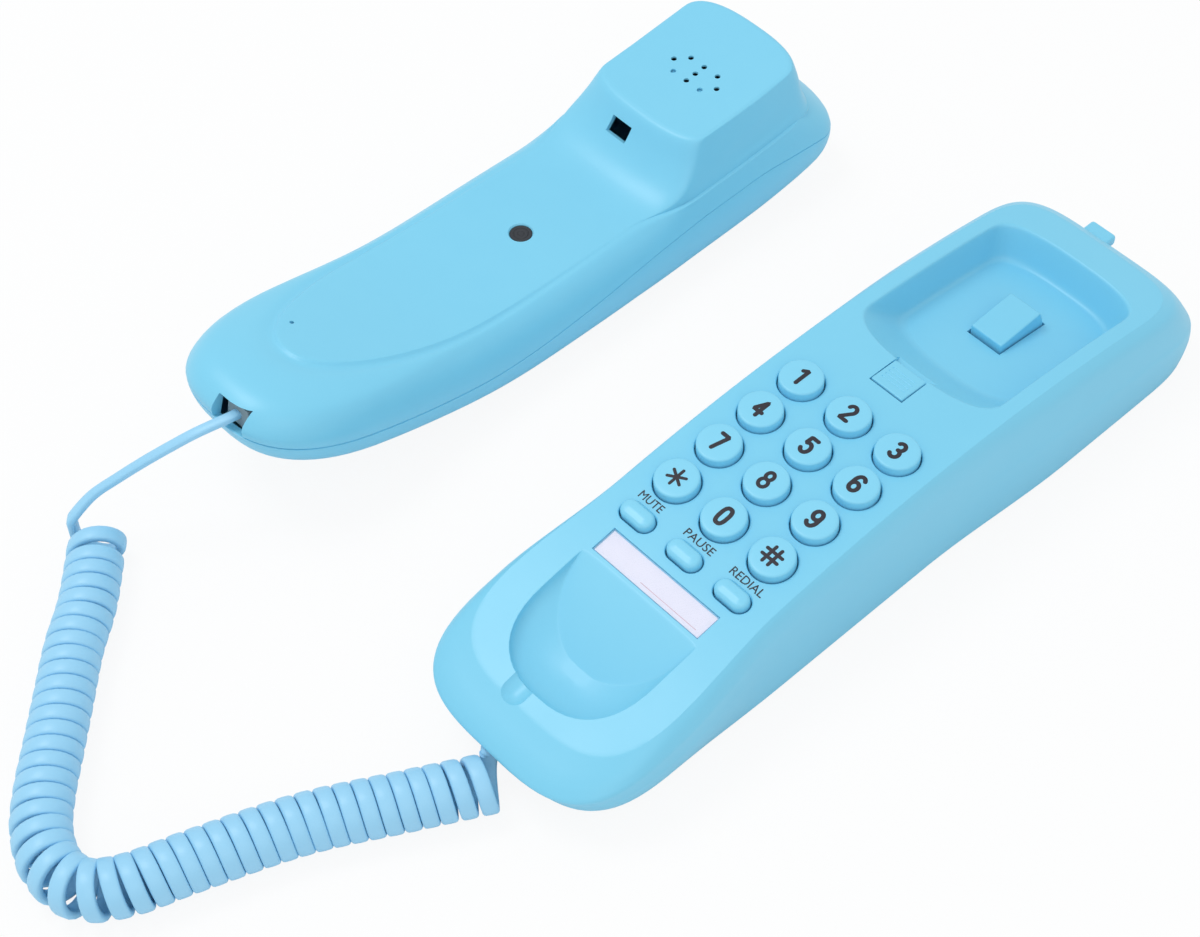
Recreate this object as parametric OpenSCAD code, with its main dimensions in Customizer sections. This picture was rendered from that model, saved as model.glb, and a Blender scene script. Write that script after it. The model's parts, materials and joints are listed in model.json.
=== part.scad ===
// Compact corded telephone. A slim humped base holds the keypad, and a curved handset
// lies on its back beside it, joined to the base by a curly cord.
// Origin: middle of the base's footprint, on the table. X runs across the base from key 1
// to key 3, Y runs along it towards the ear end, and Z is up. Millimetres.

/* [Base housing] */
// Length of the base over its two rounded ends
base_len = 222; // [216:1:236]
// Height of the deck at the top of its hump
deck_h = 35; // [34:0.5:39]
// Radius of the deck's lengthwise curve
deck_r = 406; // [390:1:600]
// How far the top of the hump lies from the middle, towards the ear end
deck_top = 11.5; // [6:0.5:15]
// Width over the mouth end
mouth_w = 62; // [61:0.5:68]
// Width over the waist
waist_w = 56; // [55:0.5:60]
// Width over the ear end
ear_w = 61.4; // [60:0.2:66]
// Wall thickness of the base and handset shells
wall = 2.2; // [1.8:0.1:2.4]
// Height of the rubber feet below the shell
foot_h = 1.2; // [1:0.1:2]
// Thickness of the bottom cover
bottom_t = 2; // [1.6:0.1:2.4]
// Spacing of the two wall-hanging keyholes
keyhole_pitch = 82.55; // [80:0.05:86]

/* [Keys] */
// Spacing of the key columns
col_pitch = 15.5; // [15:0.1:16]
// Spacing of the key rows
row_pitch = 13.72; // [13.6:0.02:14]
// Place of the first key row along the base
row_1 = 3.58; // [2:0.02:5]
// Radius of the round key holes
key_hole_r = 5.87; // [5.6:0.01:6]
// Gap round each key in its hole
key_gap = 0.45; // [0.35:0.05:0.6]
// Height of the key tops above the deck
key_rise = 2.3; // [1.8:0.1:2.8]
// Key travel
key_travel = 1.2; // [0.8:0.1:1.3]
// Place of the row of oblong keys along the base
oblong_y = -50.3; // [-51:0.1:-50]
// Length of the oblong key holes
oblong_l = 10.2; // [9:0.1:10.6]
// Width of the oblong key holes
oblong_w = 5.6; // [5:0.1:6]

/* [Recesses] */
// Depth of the ear recess below the deck
ear_depth = 9.7; // [9:0.1:10.5]
// Half width of the ear recess at its rim
ear_half = 21.6; // [21:0.1:22]
// Near rim of the ear recess
ear_near = 26; // [25.6:0.1:27]
// Far rim of the ear recess
ear_far = 89; // [88:0.1:90]
// Depth of the mouth recess
mouth_depth = 6.8; // [6:0.1:7.2]
// Half width of the mouth recess at its rim
mouth_half = 18.6; // [18:0.1:19]
// Straight rim of the mouth recess, below the index card
mouth_near = -64; // [-64.4:0.1:-63.8]
// Rounded rim of the mouth recess
mouth_far = -96.3; // [-97:0.1:-95]
// Length of the index card window
card_l = 34.2; // [33:0.1:35]
// Width of the index card window
card_w = 7; // [6.6:0.1:7.2]

/* [Hook button and hanger tab] */
// Width of the hook button
hook_w = 9.9; // [9:0.1:11]
// Near edge of the hook button
hook_near = 54.5; // [53:0.1:56]
// Far top edge of the hook button
hook_far = 69.3; // [68:0.1:70]
// Height of the hook button's far top edge above the recess floor
hook_rise = 5; // [4.6:0.1:5.4]
// Angle that the hook button swings down
hook_angle = 14; // [10:1:15]
// Width of the hanger tab
tab_w = 9.9; // [9:0.1:11]
// Near edge of the hanger tab
tab_near = 16.7; // [16.5:0.1:17.5]
// Length of the hanger tab
tab_l = 8.8; // [8:0.1:9]
// Thickness of the hanger tab
tab_t = 2.2; // [1.8:0.1:2.4]

/* [Handset] */
// Length of the handset from its mouth end to the zero line of its own frame
hs_mouth = 101.5; // [100:0.5:106]
// Length of the handset from that line to its ear end
hs_ear = 98; // [97:0.5:101]
// Half width of the handset at its middle
hs_half = 27.5; // [27:0.1:29]
// Thickness of the handset from its back to its inner face
hs_t = 23; // [22.5:0.1:24]
// Radius of the handset's lengthwise curve
hs_r = 385; // [370:1:500]
// Height of the ear block above the handset's back
block_t = 37; // [36:0.1:38]
// Distance between the middle lines of the base and the handset
hs_gap = 108.2; // [100:0.1:125]

/* [Cord] */
// Outer diameter of the curly part
coil_d = 13.6; // [13:0.1:13.8]
// Turns of the curly part
coil_turns = 44; // [36:1:44]
// Width of the flat cord along the curly part
cord_w = 3.1; // [2.6:0.1:3.3]
// Thickness of the flat cord
cord_t = 2.2; // [1.8:0.1:2.3]
// Diameter of the straight cord
cord_d = 2.4; // [2:0.1:2.6]

/* [Hidden] */
$fn = 48;

// Colours
SHELL = [0.50, 0.82, 0.95];
CORD = [0.55, 0.76, 0.93];
STEEL = [0.72, 0.74, 0.76];
DARK = [0.12, 0.13, 0.15];

// Clearances: a running fit, a small play, and the step of one body part into another
run = 0.3;
play = 0.2;
over = 3;
// Bite of a screw's thread into its pilot hole, and the lap of two joined shapes
bite = 0.1;
lap = 0.1;

// ---- Curves ----
function smooth(u) = let (t = min(1, max(0, u))) t*t*(3 - 2*t);
function mix(a, b, u) = a + (b - a)*u;
function deck(y) = deck_h - (y - deck_top)^2/(2*deck_r);
function deck_tilt(y) = atan((deck_top - y)/deck_r);

// Stations along an outline from y0 to y1 as [y, share of the full half width].
// Both ends are superellipses of length e0 and e1 and power p0 and p1.
function stations(y0, y1, e0, e1, p0, p1, ends = 7, middle = 14) = concat(
    [for (i = [0:ends]) let (a = 90*i/ends) [y0 + e0*(1 - cos(a)^(2/p0)), sin(a)^(2/p0)]],
    [for (i = [1:middle - 1]) [mix(y0 + e0, y1 - e1, i/middle), 1]],
    [for (i = [ends:-1:0]) let (a = 90*i/ends) [y1 - e1*(1 - cos(a)^(2/p1)), sin(a)^(2/p1)]]);

// One closed ring of points, up the right side and back down the left.
function ring(line, half, height) = let (last = len(line) - 1) concat(
    [for (s = line) [half(s[0])*s[1], s[0], height(s[0])]],
    [for (i = [last - 1:-1:1]) let (s = line[i]) [-half(s[0])*s[1], s[0], height(s[0])]]);

// A solid skinned over rings that all have as many points, capped across X at both ends.
// Rings that run down an inner wall and up the outer one make a shell open below.
module skin(rings) {
    n = len(rings[0]);
    half = n/2;
    levels = len(rings);
    function at(k, i) = k*n + (i + n)%n;
    function cap(k, up) = [for (i = [0:half - 1])
        let (quad = i == 0 ? [at(k, 0), at(k, 1), at(k, -1)]
            : i == half - 1 ? [at(k, i), at(k, half), at(k, -i)]
            : [at(k, i), at(k, i + 1), at(k, -i - 1), at(k, -i)])
        up ? [for (j = [len(quad) - 1:-1:0]) quad[j]] : quad];
    sides = [for (k = [0:levels - 2], i = [0:n - 1], half_face = [0, 1])
        half_face == 0 ? [at(k, i), at(k + 1, i), at(k + 1, i + 1)]
            : [at(k, i), at(k + 1, i + 1), at(k, i + 1)]];
    polyhedron(points = [for (r = rings, p = r) p],
        faces = concat(cap(0, false), sides, cap(levels - 1, true)), convexity = 8);
}

// A straight-sided slot along X with round ends.
module slot(l, w, h) {
    r = w/2;
    for (s = [-1, 1]) translate([s*(l/2 - r), 0, 0]) cylinder(r = r, h = h);
    translate([r - l/2, -r, 0]) cube([l - w, w, h]);
}

// A straight tube that stands on its origin.
module tube(r, bore, h) {
    difference() {
        cylinder(r = r, h = h);
        translate([0, 0, -1]) cylinder(r = bore, h = h + 2);
    }
}

// A box with its middle on X, given by its y and z limits.
module block(w, y0, y1, z0, z1) {
    translate([-w/2, y0, z0]) cube([w, y1 - y0, z1 - z0]);
}

// ---- Base shell ----
skirt = foot_h;
floor_z = skirt + bottom_t;
mouth_round = 32;
ear_round = 30;
mouth_power = 3.4;
ear_power = 4.5;
// The waist runs between these places, and the width changes over these lengths.
waist_near = -45;
waist_far = 5;
mouth_blend = 35;
ear_blend = 50;

// Levels of the base's outer skin: share of the height, how far the mouth end and the
// ear end stand in, and how far each half width stands in at the mouth, waist and ear.
base_levels = [
    [0,     7,    0.5,  4,   0.3, 0],
    [0.327, 3.5,  1.5,  1,   0,   0.7],
    [0.607, 1.5,  3.5,  0,   0,   1.2],
    [0.793, 0,    5,    0,   0.2, 1.7],
    [0.917, 2,    7.5,  1.5, 0.8, 2.7],
    [0.975, 6,    9.5,  3.1, 1.5, 3.9],
    [1,     12.5, 11.5, 5,   2.5, 5.2]];
inner_levels = [for (k = [6, 4, 2, 1, 0]) base_levels[k]];

function base_half(level, y) = let (waist = waist_w/2 - level[4])
    waist + (mouth_w/2 - level[3] - waist)*smooth((waist_near - y)/mouth_blend)
          + (ear_w/2 - level[5] - waist)*smooth((y - waist_far)/ear_blend);
function base_line(level, inset) = stations(
    -base_len/2 + level[1] + inset, base_len/2 - level[2] - inset,
    mouth_round - 0.4*level[1] - inset, ear_round - 0.4*level[2] - inset,
    mouth_power, ear_power);
function base_ring(level, inset) = ring(base_line(level, inset),
    function (y) base_half(level, y) - inset,
    function (y) mix(skirt, deck(y) - inset, level[0]));

module base_shell() {
    skin(concat([for (level = inner_levels) base_ring(level, wall)],
        [for (level = base_levels) base_ring(level, 0)]));
}

// ---- Ear recess ----
// Levels: share of the depth, how far the near rim, the far rim and the sides stand in.
ear_levels = [
    [1,     13,   4.4, 2.8],
    [0.86,  10.5, 2.8, 1.4],
    [0.09,  1,    0.4, 0.2],
    [0,     0,    -0.3, -0.4]];

function ear_ring(level, grow, rise) = ring(
    stations(ear_near + level[1] - grow, ear_far - level[2] + grow, 9, 9, 2.5, 2.8, 6, 9),
    function (y) ear_half - level[3] + grow,
    function (y) deck(y) - level[0]*ear_depth + rise);

module ear_hollow() {
    skin(concat([for (level = ear_levels) ear_ring(level, 0, 0)],
        [ear_ring(ear_levels[3], 0, over)]));
}

module ear_tub() {
    skin([ear_ring(ear_levels[0], wall, -wall), ear_ring(ear_levels[1], wall, -wall),
        ear_ring(ear_levels[3], wall, -0.4*wall)]);
}

function ear_floor(y) = deck(y) - ear_depth;

// ---- Mouth recess ----
// The floor slopes down from the card's edge and meets a bowl that rises to the rim.
mouth_steps = [0.97, 0.86, 0.66, 0.44, 0.22, 0];
mouth_run = 19;
bowl_run = 12.5;

function bowl(share) = sqrt(1 - share^2);
function mouth_ring(share, grow, rise) = let (
        near = mouth_near - mouth_run*share + grow,
        far = mouth_far + bowl_run*(1 - bowl(share)) - grow)
    ring(stations(far, near, 0.62*(near - far), 0.05*(near - far), 2.5, 5, 6, 5),
        function (y) mouth_half*bowl(share) + grow,
        function (y) deck(y) - share*mouth_depth + rise);

module mouth_hollow() {
    skin(concat([for (share = mouth_steps) mouth_ring(share, 0, 0)], [mouth_ring(0, 0, over)]));
}

module mouth_tub() {
    skin([for (share = [0.97, 0.66, 0]) mouth_ring(share, wall, share > 0 ? -wall : -0.4*wall)]);
}

// Thumb notch, a shallow dish across the recess rim at the mouth end.
module thumb_notch() {
    r = 6;
    depth = 1.5;
    notch_x = -4.2;
    y = mouth_far - 3;
    translate([notch_x, y, deck(y) + r - depth]) sphere(r = r);
}

// ---- Screws, bosses and feet ----
card_y = mouth_near + 1 + card_w/2;
boss_r = 3.2;
boss_floor = 0.8;
screw_r = 1.25;
screw_head_r = 2.6;
screw_head_h = 1.2;
pilot_depth = 9;
boss_in = 10.5;
boss_near = card_y - 1;
boss_far = base_len/2 - 16;
bosses = [for (s = [-1, 1], near = [1, 0])
    [s*((near == 1 ? mouth_w : ear_w)/2 - boss_in), near == 1 ? boss_near : boss_far]];
foot_near = -base_len/2 + 27;
foot_far = base_len/2 - 35;
feet = [for (s = [-1, 1], near = [1, 0])
    [s*(near == 1 ? mouth_w/2 - 13 : ear_w/2 - 9.7), near == 1 ? foot_near : foot_far]];
foot_r = 5;
foot_seat = 0.8;

// ---- Board and keys ----
mat_t = 1;
board_t = 1.6;
board_top = deck(oblong_y) - wall - 5.5;
mat_top = board_top + mat_t;
board_far = 19;
board_near = -56.5;
board_w = waist_w - 2*wall - 3.6;
post_far = [col_pitch + 1.5, board_far - 3.5];
post_near = [col_pitch/2, (row_1 - 3*row_pitch + oblong_y)/2];
board_posts = [for (s = [-1, 1], p = [post_near, post_far]) [s*p[0], p[1]]];
post_r = 2;
board_screw_r = 0.9;
board_head_r = 1.7;
board_grip = 4;

key_r = key_hole_r - key_gap;
stem_r = 2;
stem_end = mat_top + key_travel + play;
flange_t = 0.8;
flange_out = 0.8;
oblong_x = [-15.4, 0, 15.4];
collar_r = 3.1;

function row_y(row) = row_1 - row*row_pitch;
function col_x(col) = col*col_pitch;

// A round key: a flat cap tilted with the deck, a flange below the deck and a plunger.
module round_key(col, row) {
    y = row_y(row);
    rim = 1;
    translate([col_x(col), y, 0]) {
        translate([0, 0, deck(y)]) rotate([deck_tilt(y), 0, 0]) {
            translate([0, 0, -wall - run - flange_t])
                cylinder(r = key_hole_r + flange_out, h = flange_t);
            translate([0, 0, -wall - run - flange_t/2])
                cylinder(r = key_r, h = wall + run + flange_t/2 + key_rise - rim);
            translate([0, 0, key_rise - rim])
                rotate_extrude() {
                    translate([0, -rim]) square([key_r, rim]);
                    square([key_r - rim, rim]);
                    translate([key_r - rim, 0]) intersection() {
                        circle(r = rim);
                        square(rim);
                    }
                }
        }
        translate([0, 0, stem_end]) cylinder(r = stem_r, h = deck(y) - wall - stem_end);
    }
}

// An oblong key with a pillow top.
module oblong_key(k) {
    y = oblong_y;
    l = oblong_l - 2*key_gap;
    w = oblong_w - 2*key_gap;
    crown = 0.9;
    translate([oblong_x[k], y, 0]) {
        translate([0, 0, deck(y)]) rotate([deck_tilt(y), 0, 0]) {
            translate([0, 0, -wall - run - flange_t])
                slot(oblong_l + 2*flange_out, oblong_w + 2*flange_out, flange_t);
            translate([0, 0, -wall - run - flange_t/2])
                slot(l, w, wall + run + flange_t/2 + key_rise - crown);
            translate([0, 0, key_rise - crown]) intersection() {
                translate([0, 0, -1]) slot(l, w, crown + 1);
                translate([0, 0, crown - 5.5]) rotate([0, 90, 0])
                    cylinder(r = 5.5, h = l, center = true, $fn = 96);
            }
        }
        translate([0, 0, stem_end]) cylinder(r = stem_r - 0.4, h = deck(y) - wall - stem_end);
    }
}

module key_holes() {
    for (col = [-1:1], row = [0:3]) translate([col_x(col), row_y(row), deck(row_y(row)) - 8])
        cylinder(r = key_hole_r, h = 12);
    for (x = oblong_x) translate([x, oblong_y, deck(oblong_y) - 8])
        slot(oblong_l, oblong_w, 12);
}

// ---- Hook button ----
hook_play = 0.4;
pin_r = 1;
pin_play = 0.08;
pin_y = hook_near + 2.6;
pin_z = ear_floor(hook_near) - 4;
arm_r = 2.2;
hook_top_near = ear_floor(hook_near) + 2.3;
hook_top_far = ear_floor(hook_far) + hook_rise;
hook_swing = norm([hook_far - pin_y, hook_top_far - pin_z]);
hook_base = pin_z - 1;
hook_ear_w = 2.4;
spring_y = hook_near + 8.5;
spring_r = 2.6;
spring_post_r = 1.6;
spring_post_h = 4;
switch_y = hook_far + 0.7;
switch_top = pin_z + (hook_base - pin_z)*cos(hook_angle) - hook_swing*sin(hook_angle) - run;

// Side view of the hook button. Its far face is an arc about the hinge pin.
module hook_profile() {
    top = atan2(hook_top_far - pin_z, hook_far - pin_y);
    low = asin((hook_base - pin_z)/hook_swing);
    polygon(concat([[hook_near, hook_base], [hook_near, hook_top_near]],
        [for (i = [0:8]) let (a = mix(top, low, i/8))
            [pin_y + hook_swing*cos(a), pin_z + hook_swing*sin(a)]]));
}

// ---- Hanger tab ----
tab_z = deck(tab_near + tab_l/2);
rail = 0.9;
rail_t = 1;
guide_floor = 1.8;
tab_slide = 8;

module tab_shape(extra, from, to, up) {
    block(tab_w + 2*extra, from, to, tab_z - tab_t - extra, tab_z + up);
    block(tab_w + 2*rail + 2*extra, from, to, tab_z - tab_t - extra, tab_z - tab_t + rail_t + extra);
}

// ---- Index card ----
card_sink = 0.9;
card_t = 0.3;
window_t = 0.5;

module on_card(w, l, z0, h) {
    translate([0, card_y, deck(card_y)]) rotate([deck_tilt(card_y), 0, 0])
        translate([-w/2, -l/2, z0]) cube([w, l, h]);
}

// ---- Sockets and plugs (four-way handset size, six-way line size) ----
jack_wall = 1.6;
plug_w = 7.6;
plug_h = 5.9;
plug_l = 11.5;
plug_out = 2;
plug_gap = 0.25;
jack_l = 14;
line_w = 9.8;
line_h = 6.9;
base_jack_z = floor_z + lap + jack_wall + plug_h/2 + plug_gap;
base_jack_y = -base_len/2 + 8.8;
line_x = ear_w/2 - boss_in - boss_r - line_w/2 - jack_wall - 0.5;
line_jack_y = base_len/2 - 5.6;
line_jack_z = floor_z + lap + jack_wall + line_h/2;

// A socket block open towards -Y, its mouth's middle at the origin.
module socket(w, h, l, deep) {
    difference() {
        translate([-w/2 - jack_wall, 0, -h/2 - jack_wall]) cube([w + 2*jack_wall, l, h + 2*jack_wall]);
        translate([-w/2, -1, -h/2]) cube([w, deep + 1, h]);
        translate([-w/5, -1, h/2 - 0.01]) cube([w*0.4, deep + 1, 0.9]);
    }
}

// A clear modular plug that points along +Y, its cable end's middle at the origin.
module modular_plug() {
    difference() {
        translate([-plug_w/2, 0, -plug_h/2]) cube([plug_w, plug_l, plug_h]);
        for (i = [-1.5:1:1.5]) translate([i*1.02 - 0.2, plug_l - 3.2, plug_h/2 - 1])
            cube([0.4, 4, 2]);
    }
}

module base_top_cover() {
    color(SHELL) difference() {
        union() {
            difference() {
                base_shell();
                ear_hollow();
                mouth_hollow();
            }
            difference() {
                ear_tub();
                ear_hollow();
            }
            difference() {
                mouth_tub();
                mouth_hollow();
            }
            for (b = bosses) translate([b[0], b[1], floor_z])
                cylinder(r = boss_r, h = deck(b[1]) - 1 - floor_z);
            for (p = board_posts) translate([p[0], p[1], board_top])
                cylinder(r = post_r, h = deck(p[1]) - 1 - board_top);
            difference() {
                block(tab_w + 2*rail + 4, tab_near - wall, ear_near + over,
                    tab_z - tab_t - guide_floor, tab_z - 1);
                ear_hollow();
            }
            for (s = [-1, 1]) translate([s*(hook_w/2 + hook_play + hook_ear_w/2), 0, 0])
                block(hook_ear_w, pin_y - 3, pin_y + 3, pin_z - 3, ear_floor(pin_y) - 1);
            rear_tongue();
        }
        key_holes();
        for (b = bosses) translate([b[0], b[1], floor_z - 1])
            cylinder(r = screw_r - bite, h = pilot_depth + 1);
        for (p = board_posts) translate([p[0], p[1], board_top - 1])
            cylinder(r = board_screw_r - bite, h = board_grip + 2);
        tab_shape(play, tab_near - play, tab_near + tab_l + tab_slide + play, over);
        hook_slot();
        translate([0, pin_y, pin_z]) rotate([0, 90, 0])
            cylinder(r = pin_r, h = 2*hook_w, center = true);
        on_card(card_l + 2*play, card_w + 2*play, -card_sink, over);
        thumb_notch();
        block(plug_w + 1.8, -base_len/2 - 5, base_jack_y + 1,
            base_jack_z - plug_h/2 - 0.9, base_jack_z + plug_h/2 + 1.6);
        block(plug_w + 2*(plug_gap + jack_wall + play), base_jack_y - play,
            base_jack_y + jack_l + play, 0, base_jack_z + plug_h/2 + plug_gap + jack_wall + play);
        translate([line_x, 0, 0]) {
            block(line_w + 0.8, line_jack_y - 1, base_len/2 + 5,
                line_jack_z - line_h/2 - 0.4, line_jack_z + line_h/2 + 1.2);
            block(line_w + 2*jack_wall + 2*play, line_jack_y - 6, line_jack_y + play, 0,
                line_jack_z + line_h/2 + jack_wall + play);
        }
    }
}

// The small tongue on the ear end.
module rear_tongue() {
    w = 8;
    middle = -6;
    tip = base_len/2 - 1;
    z0 = 18.2;
    h = 3.3;
    r = 2.5;
    translate([middle, 0, z0]) {
        translate([-w/2, base_len/2 - 12, 0]) cube([w, 11 - r, h]);
        translate([r - w/2, tip - r - 1, 0]) cube([w - 2*r, r + 1, h]);
        for (s = [-1, 1]) translate([s*(w/2 - r), tip - r, 0]) cylinder(r = r, h = h);
    }
}

module hook_slot() {
    far = pin_y + hook_swing + hook_play;
    block(hook_w + 2*hook_play, hook_near - hook_play - 0.4, far, pin_z - 4,
        ear_floor(hook_near) + 1);
}

module base_bottom_cover() {
    inset = wall + run + lap;
    outline = ring(base_line(base_levels[0], inset),
        function (y) base_half(base_levels[0], y) - inset, function (y) 0);
    color(SHELL) difference() {
        translate([0, 0, skirt]) linear_extrude(bottom_t)
            polygon([for (p = outline) [p[0], p[1]]]);
        for (b = bosses) translate([b[0], b[1], 0]) {
            cylinder(r = screw_r + 0.2, h = 2*floor_z);
            cylinder(r = screw_head_r + 0.2, h = skirt + bottom_t - boss_floor);
        }
        for (f = feet) translate([f[0], f[1], 0]) cylinder(r = foot_r + 0.1, h = skirt + foot_seat);
        for (s = [-1, 1]) translate([0, s*keyhole_pitch/2, 0]) keyhole();
        translate([0, ringer_y, 0]) sound_holes();
    }
    color(SHELL) translate([0, spring_y, floor_z - lap]) cylinder(r = spring_post_r, h = spring_post_h);
}

// Wall keyhole: the screw head goes in at the wide end and the shank slides up the slot.
module keyhole() {
    head_r = 4.3;
    shank_r = 2.2;
    drop = 7;
    translate([0, -drop, 0]) cylinder(r = head_r, h = 2*floor_z);
    cylinder(r = shank_r, h = 2*floor_z);
    translate([-shank_r, -drop, 0]) cube([2*shank_r, drop, 2*floor_z]);
}

ringer_y = 0;
ringer_r = 13;

module sound_holes() {
    for (a = [0:60:300]) rotate(a) translate([5, 0, 0]) cylinder(r = 0.9, h = 2*floor_z);
    cylinder(r = 0.9, h = 2*floor_z);
}

module rubber_feet() {
    color(DARK) for (f = feet) translate([f[0], f[1], 0])
        cylinder(r = foot_r, h = skirt + foot_seat);
}

module base_screws() {
    head_z = skirt + bottom_t - boss_floor - screw_head_h;
    color(STEEL) for (b = bosses) translate([b[0], b[1], 0]) {
        translate([0, 0, head_z]) difference() {
            cylinder(r = screw_head_r, h = screw_head_h);
            for (a = [0, 90]) rotate(a) translate([-1.5, -0.3, -1]) cube([3, 0.6, 1.8]);
        }
        translate([0, 0, head_z + screw_head_h - lap])
            cylinder(r = screw_r - bite, h = pilot_depth - 1);
    }
}

module main_board() {
    color([0.16, 0.42, 0.24]) difference() {
        block(board_w, board_near, board_far, board_top - board_t, board_top);
        for (p = board_posts) translate([p[0], p[1], board_top - 2*board_t])
            cylinder(r = board_screw_r + 0.2, h = 3*board_t);
    }
}

module board_screws() {
    head = 0.9;
    color(STEEL) for (p = board_posts) translate([p[0], p[1], board_top - board_t]) {
        translate([0, 0, -head]) cylinder(r = board_head_r, h = head);
        translate([0, 0, -lap]) cylinder(r = board_screw_r - bite, h = board_t + board_grip);
    }
}

module keypad_mat() {
    color([0.75, 0.77, 0.80]) {
        difference() {
            block(2*(col_pitch + key_hole_r + 1), oblong_y - 4.5, row_1 + key_hole_r + 0.5,
                board_top, mat_top);
            for (p = board_posts) translate([p[0], p[1], board_top - 1])
                cylinder(r = post_r + run, h = 3*mat_t);
        }
        for (col = [-1:1], row = [0:3]) translate([col_x(col), row_y(row), mat_top - lap])
            tube(collar_r, stem_r + 2*play, key_travel + lap);
    }
}

module key(col, row) {
    color(SHELL) round_key(col, row);
}

module oblong(k) {
    color(SHELL) oblong_key(k);
}

module hook_button() {
    color(SHELL) difference() {
        union() {
            translate([-hook_w/2, 0, 0]) rotate([90, 0, 90]) linear_extrude(hook_w) hook_profile();
            translate([0, pin_y, pin_z]) rotate([0, 90, 0])
                cylinder(r = arm_r, h = hook_w, center = true);
        }
        translate([0, pin_y, pin_z]) rotate([0, 90, 0])
            cylinder(r = pin_r + pin_play, h = 2*hook_w, center = true);
    }
}

module hook_pin() {
    color(STEEL) translate([0, pin_y, pin_z]) rotate([0, 90, 0])
        cylinder(r = pin_r, h = hook_w + 2*hook_play + 2*hook_ear_w, center = true);
}

module hook_spring() {
    color(STEEL) translate([0, spring_y, floor_z])
        tube(spring_r, spring_r - 0.6, hook_base - run - floor_z);
}

module hook_switch() {
    w = 6;
    plunger = 2;
    color(DARK) {
        block(w, switch_y - w/2, switch_y + w/2, floor_z, switch_top - plunger);
        translate([0, switch_y, switch_top - plunger - lap]) cylinder(r = 1.2, h = plunger + lap);
    }
}

module hanger_tab() {
    ridge = 0.35;
    color(SHELL) difference() {
        tab_shape(0, tab_near, tab_near + tab_l, 0);
        for (i = [0:3]) translate([0, tab_near + 2.2 + i*1.3, 0])
            block(tab_w - 3, 0, 0.6, tab_z - ridge, tab_z + 1);
    }
}

module index_card() {
    color("white") on_card(card_l - 0.4, card_w - 0.4, -card_sink, card_t);
}

module card_window() {
    color([0.9, 0.92, 0.97]) on_card(card_l, card_w, card_t - card_sink, window_t);
}

module ringer() {
    brass_t = 0.6;
    ceramic_r = 9.5;
    ceramic_t = 0.4;
    color([0.75, 0.6, 0.25]) translate([0, ringer_y, floor_z]) {
        cylinder(r = ringer_r, h = brass_t);
        cylinder(r = ceramic_r, h = brass_t + ceramic_t);
    }
}

module base_cord_jack() {
    color(DARK) translate([0, base_jack_y, base_jack_z])
        socket(plug_w + 2*plug_gap, plug_h + 2*plug_gap, jack_l, plug_l + 0.6);
}

module line_jack() {
    color(DARK) translate([line_x, line_jack_y, line_jack_z]) rotate([0, 0, 180])
        socket(line_w, line_h, jack_l, jack_l - 2);
}

module base_plug() {
    color([0.85, 0.9, 0.92]) translate([0, base_jack_y - plug_out, base_jack_z])
        modular_plug();
}

// ---- Handset ----
// Its own frame lies on the base's, turned over on its back: x and y from the handset's
// middle, and t up from the back.
hs_y = -4;
hs_low = 27.6;
side_r = 1700;

function lift(y) = (y - hs_low)^2/(2*hs_r);
// Half width, and how far the mouth end and the ear end stand in, against height.
half_in = [[0, 13.5], [1.5, 7.7], [4, 1.6], [8, 0.2], [12, 0], [16, 1.2], [20, 3.7],
    [22.3, 6.6], [23, 8]];
mouth_in = [[0, 9], [1.5, 5], [4, 2.4], [8, 0.5], [12, 0], [16, 2], [20, 7], [22.3, 15],
    [23, 22]];
ear_in = [[0, 7], [1.5, 3.6], [4, 1.2], [8, 0], [12, 0.3], [16, 2.2], [20, 5.6], [22.3, 8.4],
    [23, 9.6]];
ear_wide = [[0, 0], [16, 0], [20, 0.7], [23, 1.7]];
ear_flare = 1.5;
ear_flare_at = 35;
ear_flare_run = 45;
hs_mouth_round = 34;
hs_ear_round = 14;
// Height of the parting line along the handset.
parting = [[-102, 10.2], [-60, 10.4], [-37, 11], [0, 13.6], [28, 16.2], [45, 17], [60, 17],
    [77, 14.8], [98, 9.6]];

function hs_share(t) = t*23/hs_t;
function hs_width(y, t, inset) = hs_half - y^2/(2*side_r) - lookup(hs_share(t), half_in)
    + (ear_flare + lookup(hs_share(t), ear_wide))*smooth((y - ear_flare_at)/ear_flare_run)
    - inset;
function hs_line(t0, t1, inset) = stations(
    -hs_mouth + lookup(hs_share(t0), mouth_in) + inset,
    hs_ear - lookup(hs_share(t1), ear_in) - inset,
    hs_mouth_round - inset, hs_ear_round - inset, 3, 2.7, 7, 13);
// A ring at a share of the way from the parting line to a height t.
function hs_ring(share, t, inset) = let (
        t0 = mix(lookup(-102, parting), t, share), t1 = mix(lookup(98, parting), t, share))
    ring(hs_line(t0, t1, inset),
        function (y) hs_width(y, mix(lookup(y, parting), t, share), inset),
        function (y) mix(lookup(y, parting), t, share) + lift(y)
            + (share == 1 ? (t > 1 ? -inset : inset) : 0));

front_steps = [0, 0.3, 0.55, 0.75, 0.94, 1];
back_steps = [1, 0.87, 0.62, 0.3, 0];

module front_skin() {
    skin(concat([for (s = [1, 0.75, 0.4, 0]) hs_ring(s, hs_t, wall)],
        [for (s = front_steps) hs_ring(s, hs_t, 0)]));
}

module back_skin() {
    skin(concat([for (s = back_steps) hs_ring(s, 0, 0)],
        [for (s = [0, 0.4, 0.75, 1]) hs_ring(s, 0, wall)]));
}

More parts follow.
